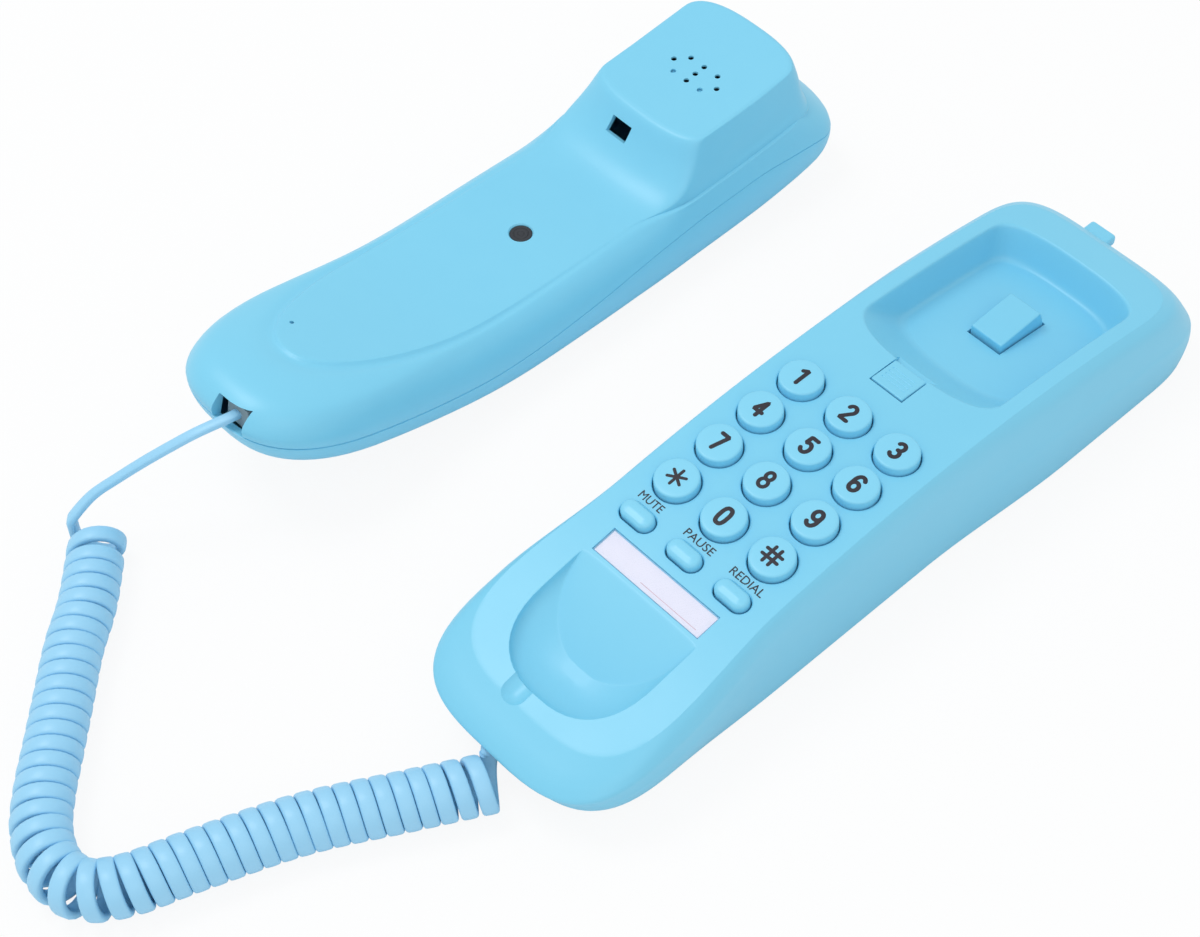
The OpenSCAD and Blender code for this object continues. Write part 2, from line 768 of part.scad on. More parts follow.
// The ear block: height, near end, far end and half width.
block_levels = [
    [19,   35.6, 88.5, 22.8],
    [20.5, 34.6, 90,   23.8],
    [22.8, 34.8, 89.2, 23.6],
    [24.2, 37,   88.4, 22.9],
    [27,   38.6, 87.6, 22],
    [31,   40.6, 87,   21],
    [34.6, 42,   86.4, 20.1],
    [36.3, 43,   86,   19.5],
    [37,   44.6, 84.8, 18.6]];

block_near_round = 6.5;
block_far_round = 9;

function block_ring(level, inset, down) = ring(
    stations(level[1] + inset, level[2] - inset, block_near_round - inset,
        block_far_round - inset, 2.4, 2.4, 6, 6),
    function (y) level[3] - inset,
    function (y) level[0]*block_t/37 - down + lift(y));

module ear_block() {
    skin([for (level = block_levels) block_ring(level, 0, 0)]);
}

module ear_block_hollow() {
    skin([block_ring([18, 39, 86.5, 19.5], wall, 0), block_ring(block_levels[4], wall, 0),
        block_ring(block_levels[6], wall, 0), block_ring(block_levels[7], wall, wall)]);
}

grille = [[-5, -3.3], [0, -3.3], [5, -3.3], [-8.1, 0], [0, 0], [8, 0], [-5, 3.3], [0, 3.3], [5, 3.3]];
grille_at = [1, 62];
grille_r = 0.8;
plug_at = [1.5, -1];
plug_r = 3;
plug_sink = 0.4;
plug_disc_t = 1.4;
shell_screw_r = 1.4;
shell_head_r = 2.7;
hs_jack_x = 7.2;
hs_jack_w = 10;
hs_jack_y = -hs_mouth + 7.5;
hs_jack_t = lookup(-102, parting) + 3.3;
hs_jack_tilt = 12;
hs_jack_h = 7.8;
slot_at = [-3, 30];
slot_w = 7;
slot_h = 4.4;
slot_near = 35;
slot_far = 46;
pinhole_at = [-6, -69];

module on_handset() {
    translate([-hs_gap, hs_y, 0]) children();
}

// A place in the handset at height t, tilted to its lengthwise curve.
module on_curve(x, y, t) {
    translate([x, y, t + lift(y)]) rotate([atan((y - hs_low)/hs_r), 0, 0]) children();
}

// The handset's socket points along the curve, a little down from the end wall.
module on_jack(back = 0) {
    translate([hs_jack_x, hs_jack_y, hs_jack_t + lift(hs_jack_y)])
        rotate([-hs_jack_tilt, 0, 0]) translate([0, -back, 0]) children();
}

module front_boss_shape(r, top, low) {
    translate([plug_at[0], plug_at[1], low]) cylinder(r = r, h = top - low);
}

shell_screw_grip = 9;
screw_seat = hs_t - 6;
boss_split = lookup(plug_at[1], parting) + lift(plug_at[1]);

module handset_front_shell() {
    face = hs_t + lift(plug_at[1]);
    seat = screw_seat + lift(plug_at[1]);
    pocket_w = plug_w + 2*(plug_gap + jack_wall + play);
    pocket_h = plug_h + 2*(plug_gap + jack_wall + play);
    color(SHELL) on_handset() difference() {
        union() {
            difference() {
                union() {
                    front_skin();
                    ear_block();
                }
                ear_block_hollow();
            }
            front_boss_shape(plug_r + 1.8, face - 1, boss_split);
            intersection() {
                skin([for (s = front_steps) hs_ring(s, hs_t, 0)]);
                translate([hs_jack_x, 0, 0]) block(hs_jack_w + 2.4, -hs_mouth, hs_jack_y - 1.3,
                    0, hs_jack_t + lift(hs_jack_y) + hs_jack_h/2 + 2);
            }
        }
        front_boss_shape(plug_r + 0.05, face + 1, seat);
        front_boss_shape(shell_screw_r + 0.2, face, boss_split - 1);
        for (g = grille) translate([grille_at[0] + g[0], grille_at[1] + g[1], block_t - 4])
            cylinder(r = grille_r, h = 10);
        translate([pinhole_at[0], pinhole_at[1], hs_t - 5]) cylinder(r = 0.6, h = 30);
        translate([slot_at[0], 0, slot_at[1]])
            block(slot_w, slot_near, slot_far, -slot_h/2, slot_h/2);
        translate([hs_jack_x, 0, hs_jack_t + lift(hs_jack_y)])
            block(hs_jack_w, -hs_mouth - 5, hs_jack_y, -hs_jack_h/2 - 2, hs_jack_h/2 + 0.6);
        on_jack() block(pocket_w, 0, jack_l + play, -pocket_h/2, pocket_h/2);
    }
}

module handset_back_shell() {
    color(SHELL) on_handset() difference() {
        union() {
            back_skin();
            translate([plug_at[0], plug_at[1], wall/2 + lift(plug_at[1])])
                cylinder(r = boss_r, h = boss_split - wall/2 - lift(plug_at[1]));
        }
        translate([plug_at[0], plug_at[1], boss_split - shell_screw_grip])
            cylinder(r = shell_screw_r - bite, h = shell_screw_grip + 1);
    }
}

module handset_screw() {
    seat = screw_seat + lift(plug_at[1]);
    color(STEEL) on_handset() translate([plug_at[0], plug_at[1], 0]) {
        translate([0, 0, seat]) cylinder(r = shell_head_r, h = 1.8);
        translate([0, 0, boss_split + play - shell_screw_grip])
            cylinder(r = shell_screw_r - bite, h = seat + lap - boss_split - play + shell_screw_grip);
    }
}

module screw_plug() {
    face = hs_t + lift(plug_at[1]);
    color(DARK) on_handset() translate([plug_at[0], plug_at[1], face - plug_sink - plug_disc_t])
        cylinder(r = plug_r, h = plug_disc_t);
}

module receiver_capsule() {
    top = block_levels[7][0]*block_t/37 - wall - run;
    h = 7;
    rim_h = 2;
    rim_w = 2;
    r = 13;
    color(DARK) on_handset() on_curve(grille_at[0], grille_at[1], top) {
        translate([0, 0, -h]) cylinder(r = r, h = h - rim_h);
        translate([0, 0, -h]) cylinder(r = r - rim_w, h = h);
    }
}

module microphone_capsule() {
    h = 3.4;
    color(STEEL) on_handset() on_curve(pinhole_at[0], pinhole_at[1], hs_t - wall - run - lap)
        translate([0, 0, -h]) cylinder(r = 3, h = h);
}

module handset_weight() {
    w = 18;
    h = 6;
    near = 12;
    far = 46;
    low = wall + lift(far) + lap;
    color(STEEL) on_handset() block(w, near, far, low, low + h);
}

module handset_jack() {
    color(DARK) on_handset() on_jack() socket(plug_w + 2*plug_gap, plug_h + 2*plug_gap, jack_l, plug_l + 0.6);
}

module handset_plug() {
    color([0.85, 0.9, 0.92]) on_handset() on_jack(plug_out) modular_plug();
}

// ---- Cord ----
hs_plug_way = [0, -cos(hs_jack_tilt), sin(hs_jack_tilt)];
hs_plug_end = [hs_jack_x - hs_gap, hs_jack_y + hs_y, hs_jack_t + lift(hs_jack_y)]
    + plug_out*hs_plug_way;
base_plug_end = [0, base_jack_y - plug_out, base_jack_z];

// The curly part's middle line on the table, chosen by hand.
coil_route = [[-112, -138], [-99, -150], [-90, -160.5], [-80, -170.5], [-70.5, -180],
    [-63, -187.5], [-55, -194], [-46, -197.5], [-37, -196], [-31, -188], [-26, -174],
    [-17.5, -151], [-7, -131], [2, -114]];
coil_steps = 12;
coil_r = coil_d/2 - cord_t*0.43;
coil_z = coil_d/2 + 0.1;

// A smooth curve through hand-chosen points.
function between(p, i, u) = let (
        last = len(p) - 1,
        a = p[max(0, i - 1)], b = p[i], c = p[min(last, i + 1)], d = p[min(last, i + 2)])
    0.5*(2*b + u*(c - a) + u^2*(2*a - 5*b + 4*c - d) + u^3*(3*b - a - 3*c + d));
function curve(p, steps) = concat(
    [for (i = [0:len(p) - 2], k = [0:steps - 1]) between(p, i, k/steps)], [p[len(p) - 1]]);
function unit(v) = v/norm(v);
function sums(v) = [for (i = 0, s = 0; i <= len(v); s = s + (i < len(v) ? v[i] : 0), i = i + 1) s];

axis_line = curve(coil_route, coil_steps);
axis_n = len(axis_line);
axis_steps = [for (i = [0:axis_n - 2]) norm(axis_line[i + 1] - axis_line[i])];
axis_at = sums(axis_steps);
axis_len = axis_at[axis_n - 1];
function heading(i) = let (w = 5, d = axis_line[min(axis_n - 1, i + w)] - axis_line[max(0, i - w)])
    atan2(d[1], d[0]);
function bend(i) = let (w = 8, a = max(0, i - w), b = min(axis_n - 1, i + w))
    abs(heading(b) - heading(a))*PI/180/(axis_at[b] - axis_at[a]);
// The turns open out where the cord bends, so that they stay clear on the inside.
turn_rate = [for (i = [0:axis_n - 2]) (1 - 0.92*min(0.9, coil_d/2*bend(i)))*axis_steps[i]];
turn_sum = sums(turn_rate);
turn_total = turn_sum[axis_n - 1];

turn_points = 8;
coil_n = coil_turns*turn_points - turn_points/2;
coil_first = 180;
// Place along the middle line at which a given share of the turns has passed.
function place(share) = let (want = share*turn_total,
        i = min(axis_n - 2, len([for (s = turn_sum) if (s <= want) 1]) - 1))
    [i, (want - turn_sum[i])/max(1e-6, turn_rate[i])];
coil_rings = [for (k = [0:coil_n]) let (
        at = place(k/coil_n),
        i = at[0],
        p = mix(axis_line[i], axis_line[i + 1], at[1]),
        h = mix(heading(i), heading(i + 1), at[1]),
        phase = coil_first + 360*k/turn_points,
        along = [cos(h), sin(h), 0],
        out = cos(phase)*[-sin(h), cos(h), 0] + sin(phase)*[0, 0, 1])
    [[p[0], p[1], coil_z] + coil_r*out, along, out]];
stub = coil_d/4;
coil_start = coil_rings[0][0] + [0, 0, stub];
coil_end = coil_rings[coil_n][0] + [0, 0, stub];
coil_path = concat([[coil_start, coil_rings[0][1], coil_rings[0][2]]], coil_rings,
    [[coil_end, coil_rings[coil_n][1], coil_rings[coil_n][2]]]);
function coil_section(q) = [for (j = [0:5])
    q[0] + cord_w/2*cos(60*j)*q[1] + cord_t/2*sin(60*j)*q[2]];

// Least gap between one turn and the next, on the section points.
coil_sections = [for (q = coil_rings) coil_section(q)];
coil_gap = min([for (k = [0:coil_n - turn_points + 1], m = [turn_points - 2:turn_points + 1])
    if (k + m <= coil_n) for (a = coil_sections[k], b = coil_sections[k + m]) norm(a - b)]);
echo("least gap between turns", coil_gap, "coil length", axis_len);

// A closed tube through rings of points, all with as many points.
module tube_skin(rings, flip = false) {
    n = len(rings[0]);
    m = len(rings);
    function at(k, i) = k*n + i%n;
    ends = concat([for (i = [1:n - 2]) [0, i, i + 1]],
        [for (i = [1:n - 2]) [at(m - 1, 0), at(m - 1, i + 1), at(m - 1, i)]]);
    sides = [for (k = [0:m - 2], i = [0:n - 1], t = [0, 1])
        t == 0 ? [at(k, i), at(k + 1, i), at(k + 1, i + 1)]
            : [at(k, i), at(k + 1, i + 1), at(k, i + 1)]];
    faces = concat(ends, sides);
    polyhedron(points = [for (r = rings, p = r) p],
        faces = flip ? [for (f = faces) [f[2], f[1], f[0]]] : faces, convexity = 10);
}

module cord_coil() {
    color(CORD) tube_skin([for (q = coil_path) coil_section(q)], true);
}

// A round cord swept along a curve, its ends square to their first and last steps.
module cord(points, steps, first, last) {
    line = curve(points, steps);
    n = len(line);
    rings = [for (i = [0:n - 1]) let (
            dir = i == 0 ? first : i == n - 1 ? last : unit(line[i + 1] - line[i - 1]),
            side = unit(cross(dir, abs(dir[2]) > 0.9 ? [-0.7, -0.7, 0] : [0, 0, 1])),
            up = cross(side, dir))
        [for (j = [0:7]) line[i] + cord_d/2*(cos(45*j)*side + sin(45*j)*up)]];
    tube_skin(rings);
}

module cord_lead() {
    // From the handset's plug down to the first curl, chosen by hand.
    p = hs_plug_end;
    route = concat([p, p + 3*hs_plug_way],
        [[-103.5, -110.5, 32.5], [-106.5, -116, 29.5], [-110.5, -122, 25],
            [-114.5, -127.5, 19.5], [-118, -132, 15]],
        [coil_start + [0.3, 0.4, 2], coil_start]);
    color(CORD) cord(route, 3, hs_plug_way, [0, 0, -1]);
}

module cord_tail() {
    p = base_plug_end;
    route = [coil_end, coil_end + [0.3, 0.5, 0.7], [-1.9, -109.2, 10.5], p + [-0.4, -2.6, 0.4], p];
    color(CORD) cord(route, 3, [0, 0, 1], [0, 1, 0]);
}

base_top_cover();
base_bottom_cover();
rubber_feet();
base_screws();
main_board();
board_screws();
keypad_mat();
key(-1, 0);  // key_1
key(0, 0);  // key_2
key(1, 0);  // key_3
key(-1, 1);  // key_4
key(0, 1);  // key_5
key(1, 1);  // key_6
key(-1, 2);  // key_7
key(0, 2);  // key_8
key(1, 2);  // key_9
key(-1, 3);  // key_star
key(0, 3);  // key_0
key(1, 3);  // key_hash
oblong(0);  // key_mute
oblong(1);  // key_pause
oblong(2);  // key_redial
hook_button();
hook_pin();
hook_spring();
hook_switch();
hanger_tab();
index_card();
card_window();
ringer();
base_cord_jack();
line_jack();
handset_front_shell();
handset_back_shell();
receiver_capsule();
microphone_capsule();
handset_weight();
handset_jack();
handset_screw();
screw_plug();
handset_plug();
cord_lead();
cord_coil();
cord_tail();
base_plug();
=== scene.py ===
# %% [markdown]
# # A compact corded telephone
# The phone has three visible groups: a slim humped base with a keypad, a curved handset
# that lies on its back beside it, and the curly cord between them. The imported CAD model
# comes in first as a fixed frame. Pieces made here are laid over its solids, in the same
# coordinates, and ride on its moving bodies.

# %% Load the frame
import json
import math

import bmesh
import bpy
import numpy as np
from mathutils import Matrix, Vector

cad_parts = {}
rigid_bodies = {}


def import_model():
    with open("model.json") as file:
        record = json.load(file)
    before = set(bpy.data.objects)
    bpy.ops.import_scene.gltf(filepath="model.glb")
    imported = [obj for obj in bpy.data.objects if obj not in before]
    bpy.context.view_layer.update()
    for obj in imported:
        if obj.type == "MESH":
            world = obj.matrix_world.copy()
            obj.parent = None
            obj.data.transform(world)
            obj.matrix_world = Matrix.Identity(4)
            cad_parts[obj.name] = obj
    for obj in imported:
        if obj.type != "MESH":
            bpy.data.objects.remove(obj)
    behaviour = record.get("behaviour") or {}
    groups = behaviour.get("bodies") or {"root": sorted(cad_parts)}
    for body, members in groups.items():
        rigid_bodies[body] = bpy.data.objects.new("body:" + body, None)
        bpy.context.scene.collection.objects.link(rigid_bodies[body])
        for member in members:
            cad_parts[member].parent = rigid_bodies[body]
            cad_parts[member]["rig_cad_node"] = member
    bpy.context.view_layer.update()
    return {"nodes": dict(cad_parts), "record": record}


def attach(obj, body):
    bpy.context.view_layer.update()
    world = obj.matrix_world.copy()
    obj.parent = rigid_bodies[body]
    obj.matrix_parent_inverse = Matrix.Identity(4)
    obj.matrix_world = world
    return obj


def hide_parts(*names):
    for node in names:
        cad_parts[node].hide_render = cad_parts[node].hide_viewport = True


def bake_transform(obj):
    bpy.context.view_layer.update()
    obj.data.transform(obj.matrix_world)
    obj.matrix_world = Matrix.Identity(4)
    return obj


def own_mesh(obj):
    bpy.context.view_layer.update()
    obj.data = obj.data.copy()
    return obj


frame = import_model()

NODES = frame["nodes"]

# %% [markdown]
# ## Camera
# A portrait of a product needs one fixed view. The camera looks down on the keypad from
# the right of the mouth end. Its place is worked out from two angles and a distance, so
# that the numbers can be read and changed.

# %% Set the camera
MM = 0.001
view_turn, view_rise, view_far = math.radians(46.953), math.radians(51.619), 0.559385
aim = Vector((-0.02964, -0.04897, 0.034))
back = Vector((math.sin(view_turn) * math.cos(view_rise),
               -math.cos(view_turn) * math.cos(view_rise), math.sin(view_rise)))
right = Vector((math.cos(view_turn), math.sin(view_turn), 0))
camera_data = bpy.data.cameras.new("camera")
camera_data.lens, camera_data.sensor_width = 72.13, 36
camera_data.clip_start, camera_data.clip_end = 0.02, 20
camera = bpy.data.objects.new("camera", camera_data)
camera.matrix_world = Matrix.Translation(aim + back * view_far) @ Matrix(
    (right, back.cross(right), back)).transposed().to_4x4()
bpy.context.scene.collection.objects.link(camera)
bpy.context.scene.camera = camera
print("camera at", [round(v, 3) for v in camera.location])

# %% [markdown]
# ## Tools for making meshes
# Every shape below is a list of points in millimetres with a list of faces. One helper
# turns such lists into an object in metres whose origin stays at zero, so that patterns
# on object coordinates keep their scale.

# %% Mesh helpers
def in_scene(name, data):
    """A new object in the scene with the given data."""
    obj = bpy.data.objects.new(name, data)
    bpy.context.scene.collection.objects.link(obj)
    return obj


def piece(name, points, faces, angle=32):
    """A mesh object from points in millimetres, smooth where its faces meet gently."""
    mesh = bpy.data.meshes.new(name)
    mesh.from_pydata([tuple(p) for p in np.asarray(points, float) * MM], [], faces)
    mesh.validate()
    obj = in_scene(name, mesh)
    soften(obj, angle)
    return obj


def soften(obj, angle=32):
    """Smooth shading, with creases where faces meet at more than this angle."""
    obj.data.shade_smooth()
    obj.data.set_sharp_from_angle(angle=math.radians(angle))


def bake(obj):
    """Replaces the mesh by the result of its modifiers, and clears them."""
    depsgraph = bpy.context.evaluated_depsgraph_get()
    mesh = bpy.data.meshes.new_from_object(obj.evaluated_get(depsgraph))
    obj.modifiers.clear()
    obj.data = mesh
    mesh.name = obj.name
    return obj


def combine(obj, tools, operation="DIFFERENCE"):
    """Cuts the tools from a piece, or joins them to it, and removes them."""
    for tool in tools:
        step = obj.modifiers.new("cut", "BOOLEAN")
        step.solver, step.operation, step.object = "EXACT", operation, tool
    bake(obj)
    for tool in tools:
        bpy.data.objects.remove(tool)
    return obj


def even_normals(obj, angle=32):
    """Large faces keep their own direction beside small rounded ones."""
    soften(obj, angle)
    step = obj.modifiers.new("even", "WEIGHTED_NORMAL")
    step.keep_sharp, step.weight = True, 80
    return bake(obj)


def rounded(obj, width, segments=3):
    """Rounds the edges of a plain solid."""
    step = obj.modifiers.new("round", "BEVEL")
    step.width, step.segments, step.angle_limit = width * MM, segments, math.radians(40)
    return bake(obj)


def joined(name, parts):
    """Several objects as one mesh."""
    mesh = bmesh.new()
    for part in parts:
        mesh.from_mesh(part.data)
    data = bpy.data.meshes.new(name)
    mesh.to_mesh(data)
    mesh.free()
    for part in parts:
        bpy.data.objects.remove(part)
    return in_scene(name, data)


def grid_faces(rows, columns, start=0):
    """Quads between closed rings of points."""
    return [(start + r * columns + c, start + r * columns + (c + 1) % columns,
             start + (r + 1) * columns + (c + 1) % columns, start + (r + 1) * columns + c)
            for r in range(rows - 1) for c in range(columns)]


def tube_faces(rows, columns):
    """The same quads with a face across each end."""
    last = (rows - 1) * columns
    return grid_faces(rows, columns) + [tuple(range(columns))[::-1], tuple(range(last, last + columns))]


def turned_out(obj):
    """Makes every face of a closed mesh look outwards."""
    mesh = bmesh.new()
    mesh.from_mesh(obj.data)
    bmesh.ops.recalc_face_normals(mesh, faces=mesh.faces)
    mesh.to_mesh(obj.data)
    mesh.free()
    return obj


def round_angles(count):
    return np.linspace(0, 2 * np.pi, count, endpoint=False)


def squared(v, power):
    """A sine or cosine raised to a power with its sign kept, which squares a round outline."""
    return np.sign(v) * abs(v) ** power


def moved(x, y, z):
    """A move by a distance in millimetres."""
    return Matrix.Translation(Vector((x, y, z)) * MM)


def path_length(line):
    return float(np.linalg.norm(np.diff(line, axis=0), axis=1).sum())


def box(name, low, high):
    x0, y0, z0, x1, y1, z1 = *low, *high
    return piece(name, [(x, y, z) for z in (z0, z1) for y in (y0, y1) for x in (x0, x1)],
                 [(0, 2, 3, 1), (4, 5, 7, 6), (0, 1, 5, 4), (2, 6, 7, 3), (0, 4, 6, 2), (1, 3, 7, 5)])


def lathe(name, profile, turns=64, place=lambda p: p):
    """A solid of revolution from (radius, height) pairs, first and last on the axis."""
    points = [(0, 0, profile[0][1])]
    for r, z in profile[1:-1]:
        points += [(r * math.cos(a), r * math.sin(a), z)
                   for a in round_angles(turns)]
    rings = len(profile) - 2
    points.append((0, 0, profile[-1][1]))
    faces = [(0, 1 + (k + 1) % turns, 1 + k) for k in range(turns)]
    faces += grid_faces(rings, turns, start=1)
    top, last = len(points) - 1, 1 + (rings - 1) * turns
    faces += [(top, last + k, last + (k + 1) % turns) for k in range(turns)]
    return piece(name, [place(np.array(p, float)) for p in points], faces)


print("mesh helpers ready")

# %% [markdown]
# ## The cord's route
# A curly cord is a flat cable wound on a rod and set with heat. Its middle line lies on
# the table and the cable runs round it as a helix. The turns stand close together in the
# two straight legs, and in the bend they fan out on the outer side, as a bent spring does.
# Listed points close to those of the CAD source give the middle line.

# %% Lay the route
COIL_ROUTE = [(-114.2, -136), (-99, -150), (-90, -160.5), (-80, -170.5), (-70.5, -180),
              (-63, -187.5), (-55, -194), (-46, -197.5), (-37, -196), (-31, -188),
              (-26, -174), (-17, -151), (-5.8, -130.5), (4, -112.8)]
COIL_D, CABLE_W, CABLE_T = 13.6, 3.95, 2.3
CABLE_SIDES, COIL_TURNS, PER_TURN = 16, 46, 24
WOUND_IN = 2.2 * 0.43
COIL_R, COIL_Z = COIL_D / 2 - WOUND_IN, COIL_D / 2 + 0.1
BEND_FAN, START_OPEN, END_OPEN = 0.35, 0.45, 0.15


def curve_through(points, steps):
    """A smooth line through the points, with that many steps between each two."""
    p = np.array(points, float)
    line = []
    for i in range(len(p) - 1):
        a, b, c, d = p[max(0, i - 1)], p[i], p[i + 1], p[min(len(p) - 1, i + 2)]
        for u in np.arange(steps) / steps:
            line.append(0.5 * (2 * b + u * (c - a) + u**2 * (2 * a - 5 * b + 4 * c - d)
                               + u**3 * (3 * b - a - 3 * c + d)))
    return np.array(line + [p[-1]])


def unit(v):
    v = np.asarray(v, float)
    return v / np.maximum(np.linalg.norm(v, axis=-1, keepdims=True), 1e-12)


axis_line = curve_through(COIL_ROUTE, 12)
count = len(axis_line)
axis_steps = np.linalg.norm(np.diff(axis_line, axis=0), axis=1)
axis_at = np.concatenate([[0], np.cumsum(axis_steps)])
heading = np.array([math.atan2(*(axis_line[min(count - 1, i + 5)] - axis_line[max(0, i - 5)])[::-1])
                    for i in range(count)])
heading = np.unwrap(heading)
bend = np.array([abs(heading[min(count - 1, i + 8)] - heading[max(0, i - 8)])
                 / (axis_at[min(count - 1, i + 8)] - axis_at[max(0, i - 8)]) for i in range(count)])
rate = (1 - BEND_FAN * np.minimum(0.9, COIL_D / 2 * bend[:-1])) * axis_steps
rate *= (1 - START_OPEN * np.clip((9 - axis_at[:-1]) / 3, 0, 1)) * (
    1 - END_OPEN * np.clip((axis_at[:-1] - axis_at[-1] + 13) / 3, 0, 1))
turn_at = np.concatenate([[0], np.cumsum(rate)])
print("middle line of the curls:", round(axis_at[-1], 1), "mm")

# %% Wind the helix
steps = COIL_TURNS * PER_TURN - PER_TURN // 2
where = np.interp(np.linspace(0, turn_at[-1], steps + 1), turn_at, np.arange(count))
middle = np.stack([np.interp(where, np.arange(count), axis_line[:, k]) for k in (0, 1)], 1)
h = np.interp(where, np.arange(count), heading)
phase = math.pi + 2 * math.pi * np.arange(steps + 1) / PER_TURN
along = np.stack([np.cos(h), np.sin(h), 0 * h], 1)
across = np.stack([-np.sin(h), np.cos(h), 0 * h], 1)
outward = np.cos(phase)[:, None] * across + np.sin(phase)[:, None] * np.array([0, 0, 1.0])
helix = np.column_stack([middle, np.full(steps + 1, COIL_Z)]) + COIL_R * outward
print("turns:", COIL_TURNS, "cable in the curls:", round(path_length(helix)), "mm")

# %% [markdown]
# The cable leaves each end of the helix through a short straight stretch. One runs up to
# the handset's plug, and one slips under the mouth end of the base to its plug. The
# cable's flat side has to turn smoothly on the way, so each point carries the direction
# of the flat side as well as its place.

# %% Route the two ends
JACK_TILT = math.radians(12)
HANDSET_PLUG_END = np.array([-101.0, -99.956, 33.119])
HANDSET_PLUG_WAY = np.array([0, -math.cos(JACK_TILT), math.sin(JACK_TILT)])
BASE_PLUG_END = np.array([0, -104.2, 8.1])
STUB = COIL_D / 4
coil_start, coil_end = helix[0] + [0, 0, STUB], helix[-1] + [0, 0, STUB]
lead_line = curve_through([
    HANDSET_PLUG_END, HANDSET_PLUG_END + 3 * HANDSET_PLUG_WAY, (-103.5, -110.5, 32.5),
    (-106.5, -116, 29.5), (-110.3, -122, 25.2), (-113.9, -128, 20.7), (-117, -134, 16.4),
    coil_start + [0.3, 0.4, 2], coil_start], 8)
tail_line = curve_through([
    coil_end, coil_end + [0.3, 0.5, 0.7], (-1.9, -109.2, 10.5),
    BASE_PLUG_END + [-0.4, -2.6, 0.4], BASE_PLUG_END], 8)


def flat_side(line, first, last):
    """Directions across a cable that turn from one to the other along its line."""
    way = unit(np.gradient(line, axis=0))
    share = np.linspace(0, 1, len(line))[:, None]
    share = share * share * (3 - 2 * share)
    side = (1 - share) * unit(first) + share * unit(last)
    return unit(side - (side * way).sum(1, keepdims=True) * way)


def cable(name, line, side, width, thick):
    """A cable of oval section with closed ends, along a line in millimetres."""
    way = unit(np.gradient(line, axis=0))
    side = unit(side - (side * way).sum(1, keepdims=True) * way)
    up = np.cross(way, side)
    a = round_angles(CABLE_SIDES)
    c, s = squared(np.cos(a), 0.45), squared(np.sin(a), 0.7)
    width, thick = (np.broadcast_to(v, len(line)) for v in (width, thick))
    rings = (line[:, None] + (width / 2)[:, None, None] * c[None, :, None] * side[:, None]
             + (thick / 2)[:, None, None] * s[None, :, None] * up[:, None])
    return turned_out(piece(name, rings.reshape(-1, 3), tube_faces(len(line), CABLE_SIDES), 60))


print("lead", round(path_length(lead_line)), "mm, tail", round(path_length(tail_line)), "mm")

# %% Make the cord pieces
LEAD_W, LEAD_T = 2.6, 1.9
lead_side = flat_side(lead_line, (1, 0, 0), along[0])
swell = np.clip((np.linspace(0, 1, len(lead_line)) - 0.7) / 0.3, 0, 1)
cord_lead = cable("cord_lead_cable", lead_line, lead_side,
                  LEAD_W + (CABLE_W - LEAD_W) * swell, LEAD_T + (CABLE_T - LEAD_T) * swell)
coil_line = np.concatenate([[coil_start], helix, [coil_end]])
coil_side = np.concatenate([[along[0]], along, [along[-1]]])
cord_coil = cable("cord_curls_cable", coil_line, coil_side, CABLE_W, CABLE_T)
tail_side = flat_side(tail_line, along[-1], (1, 0, 0))
cord_tail = cable("cord_tail_cable", tail_line, tail_side,
                  CABLE_W + (LEAD_W - CABLE_W) * np.linspace(0, 1, len(tail_line)),
                  CABLE_T + (LEAD_T - CABLE_T) * np.linspace(0, 1, len(tail_line)))
for part, node in ((cord_lead, "cord_lead"), (cord_coil, "cord_coil"), (cord_tail, "cord_tail")):
    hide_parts(node)
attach(cord_coil, "base")
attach(cord_tail, "base")
tuple((coil_start + [0, 0, 1]) * MM)
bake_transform(cord_lead)

tuple(coil_end * MM)
path_length(coil_line) * MM
path_length(lead_line) * MM

# %% [markdown]
# ## The base's top cover
# The cover is one injection-moulded shell. Its outline, height and edge rounding all
# change along its length, so it is made as a stack of closed outlines. A table gives a
# few outlines, and a smooth curve through the table's columns gives all those between.
# Recesses are cut by tools that end in a small flare, which leaves a rounded rim.

# %% Curves of the base
BASE_LEN, DECK_H, DECK_R, DECK_TOP = 222, 35, 406, 11.5
FOOT_H, WALL = 1.2, 2.2
MOUTH_W, WAIST_W, EAR_W = 62, 56, 61.4
BASE_LEVELS = np.array([
    [0, 7.6, 1.9, 4.6, 0.9, 1.3], [0.012, 7, 1.3, 4, 0.3, 0.7], [0.327, 3.5, 0.2, 1, 0, 0],
    [0.5, 2.2, 0.7, 0.2, 0, 0.1], [0.607, 1.5, 2, 0, 0, 0.6], [0.793, 0, 5, 0, 0.2, 1.6],
    [0.875, 1.6, 6.8, 0.7, 0.6, 2.2], [0.925, 4.2, 8.1, 1.4, 1, 2.9], [0.965, 7.6, 9.8, 2.2, 1.5, 3.9],
    [1, 10.6, 11.5, 3.2, 2.3, 5]])


def deck(y):
    return DECK_H - (y - DECK_TOP) ** 2 / (2 * DECK_R)


def laid_on_deck(obj, y):
    """Turns a piece to the deck's slope and moves it there, on the middle line."""
    tilt = math.atan((DECK_TOP - y) / DECK_R)
    obj.data.transform(moved(0, y, deck(y)) @ Matrix.Rotation(tilt, 4, "X"))
    return obj


def smooth(u):
    u = np.clip(u, 0, 1)
    return u * u * (3 - 2 * u)


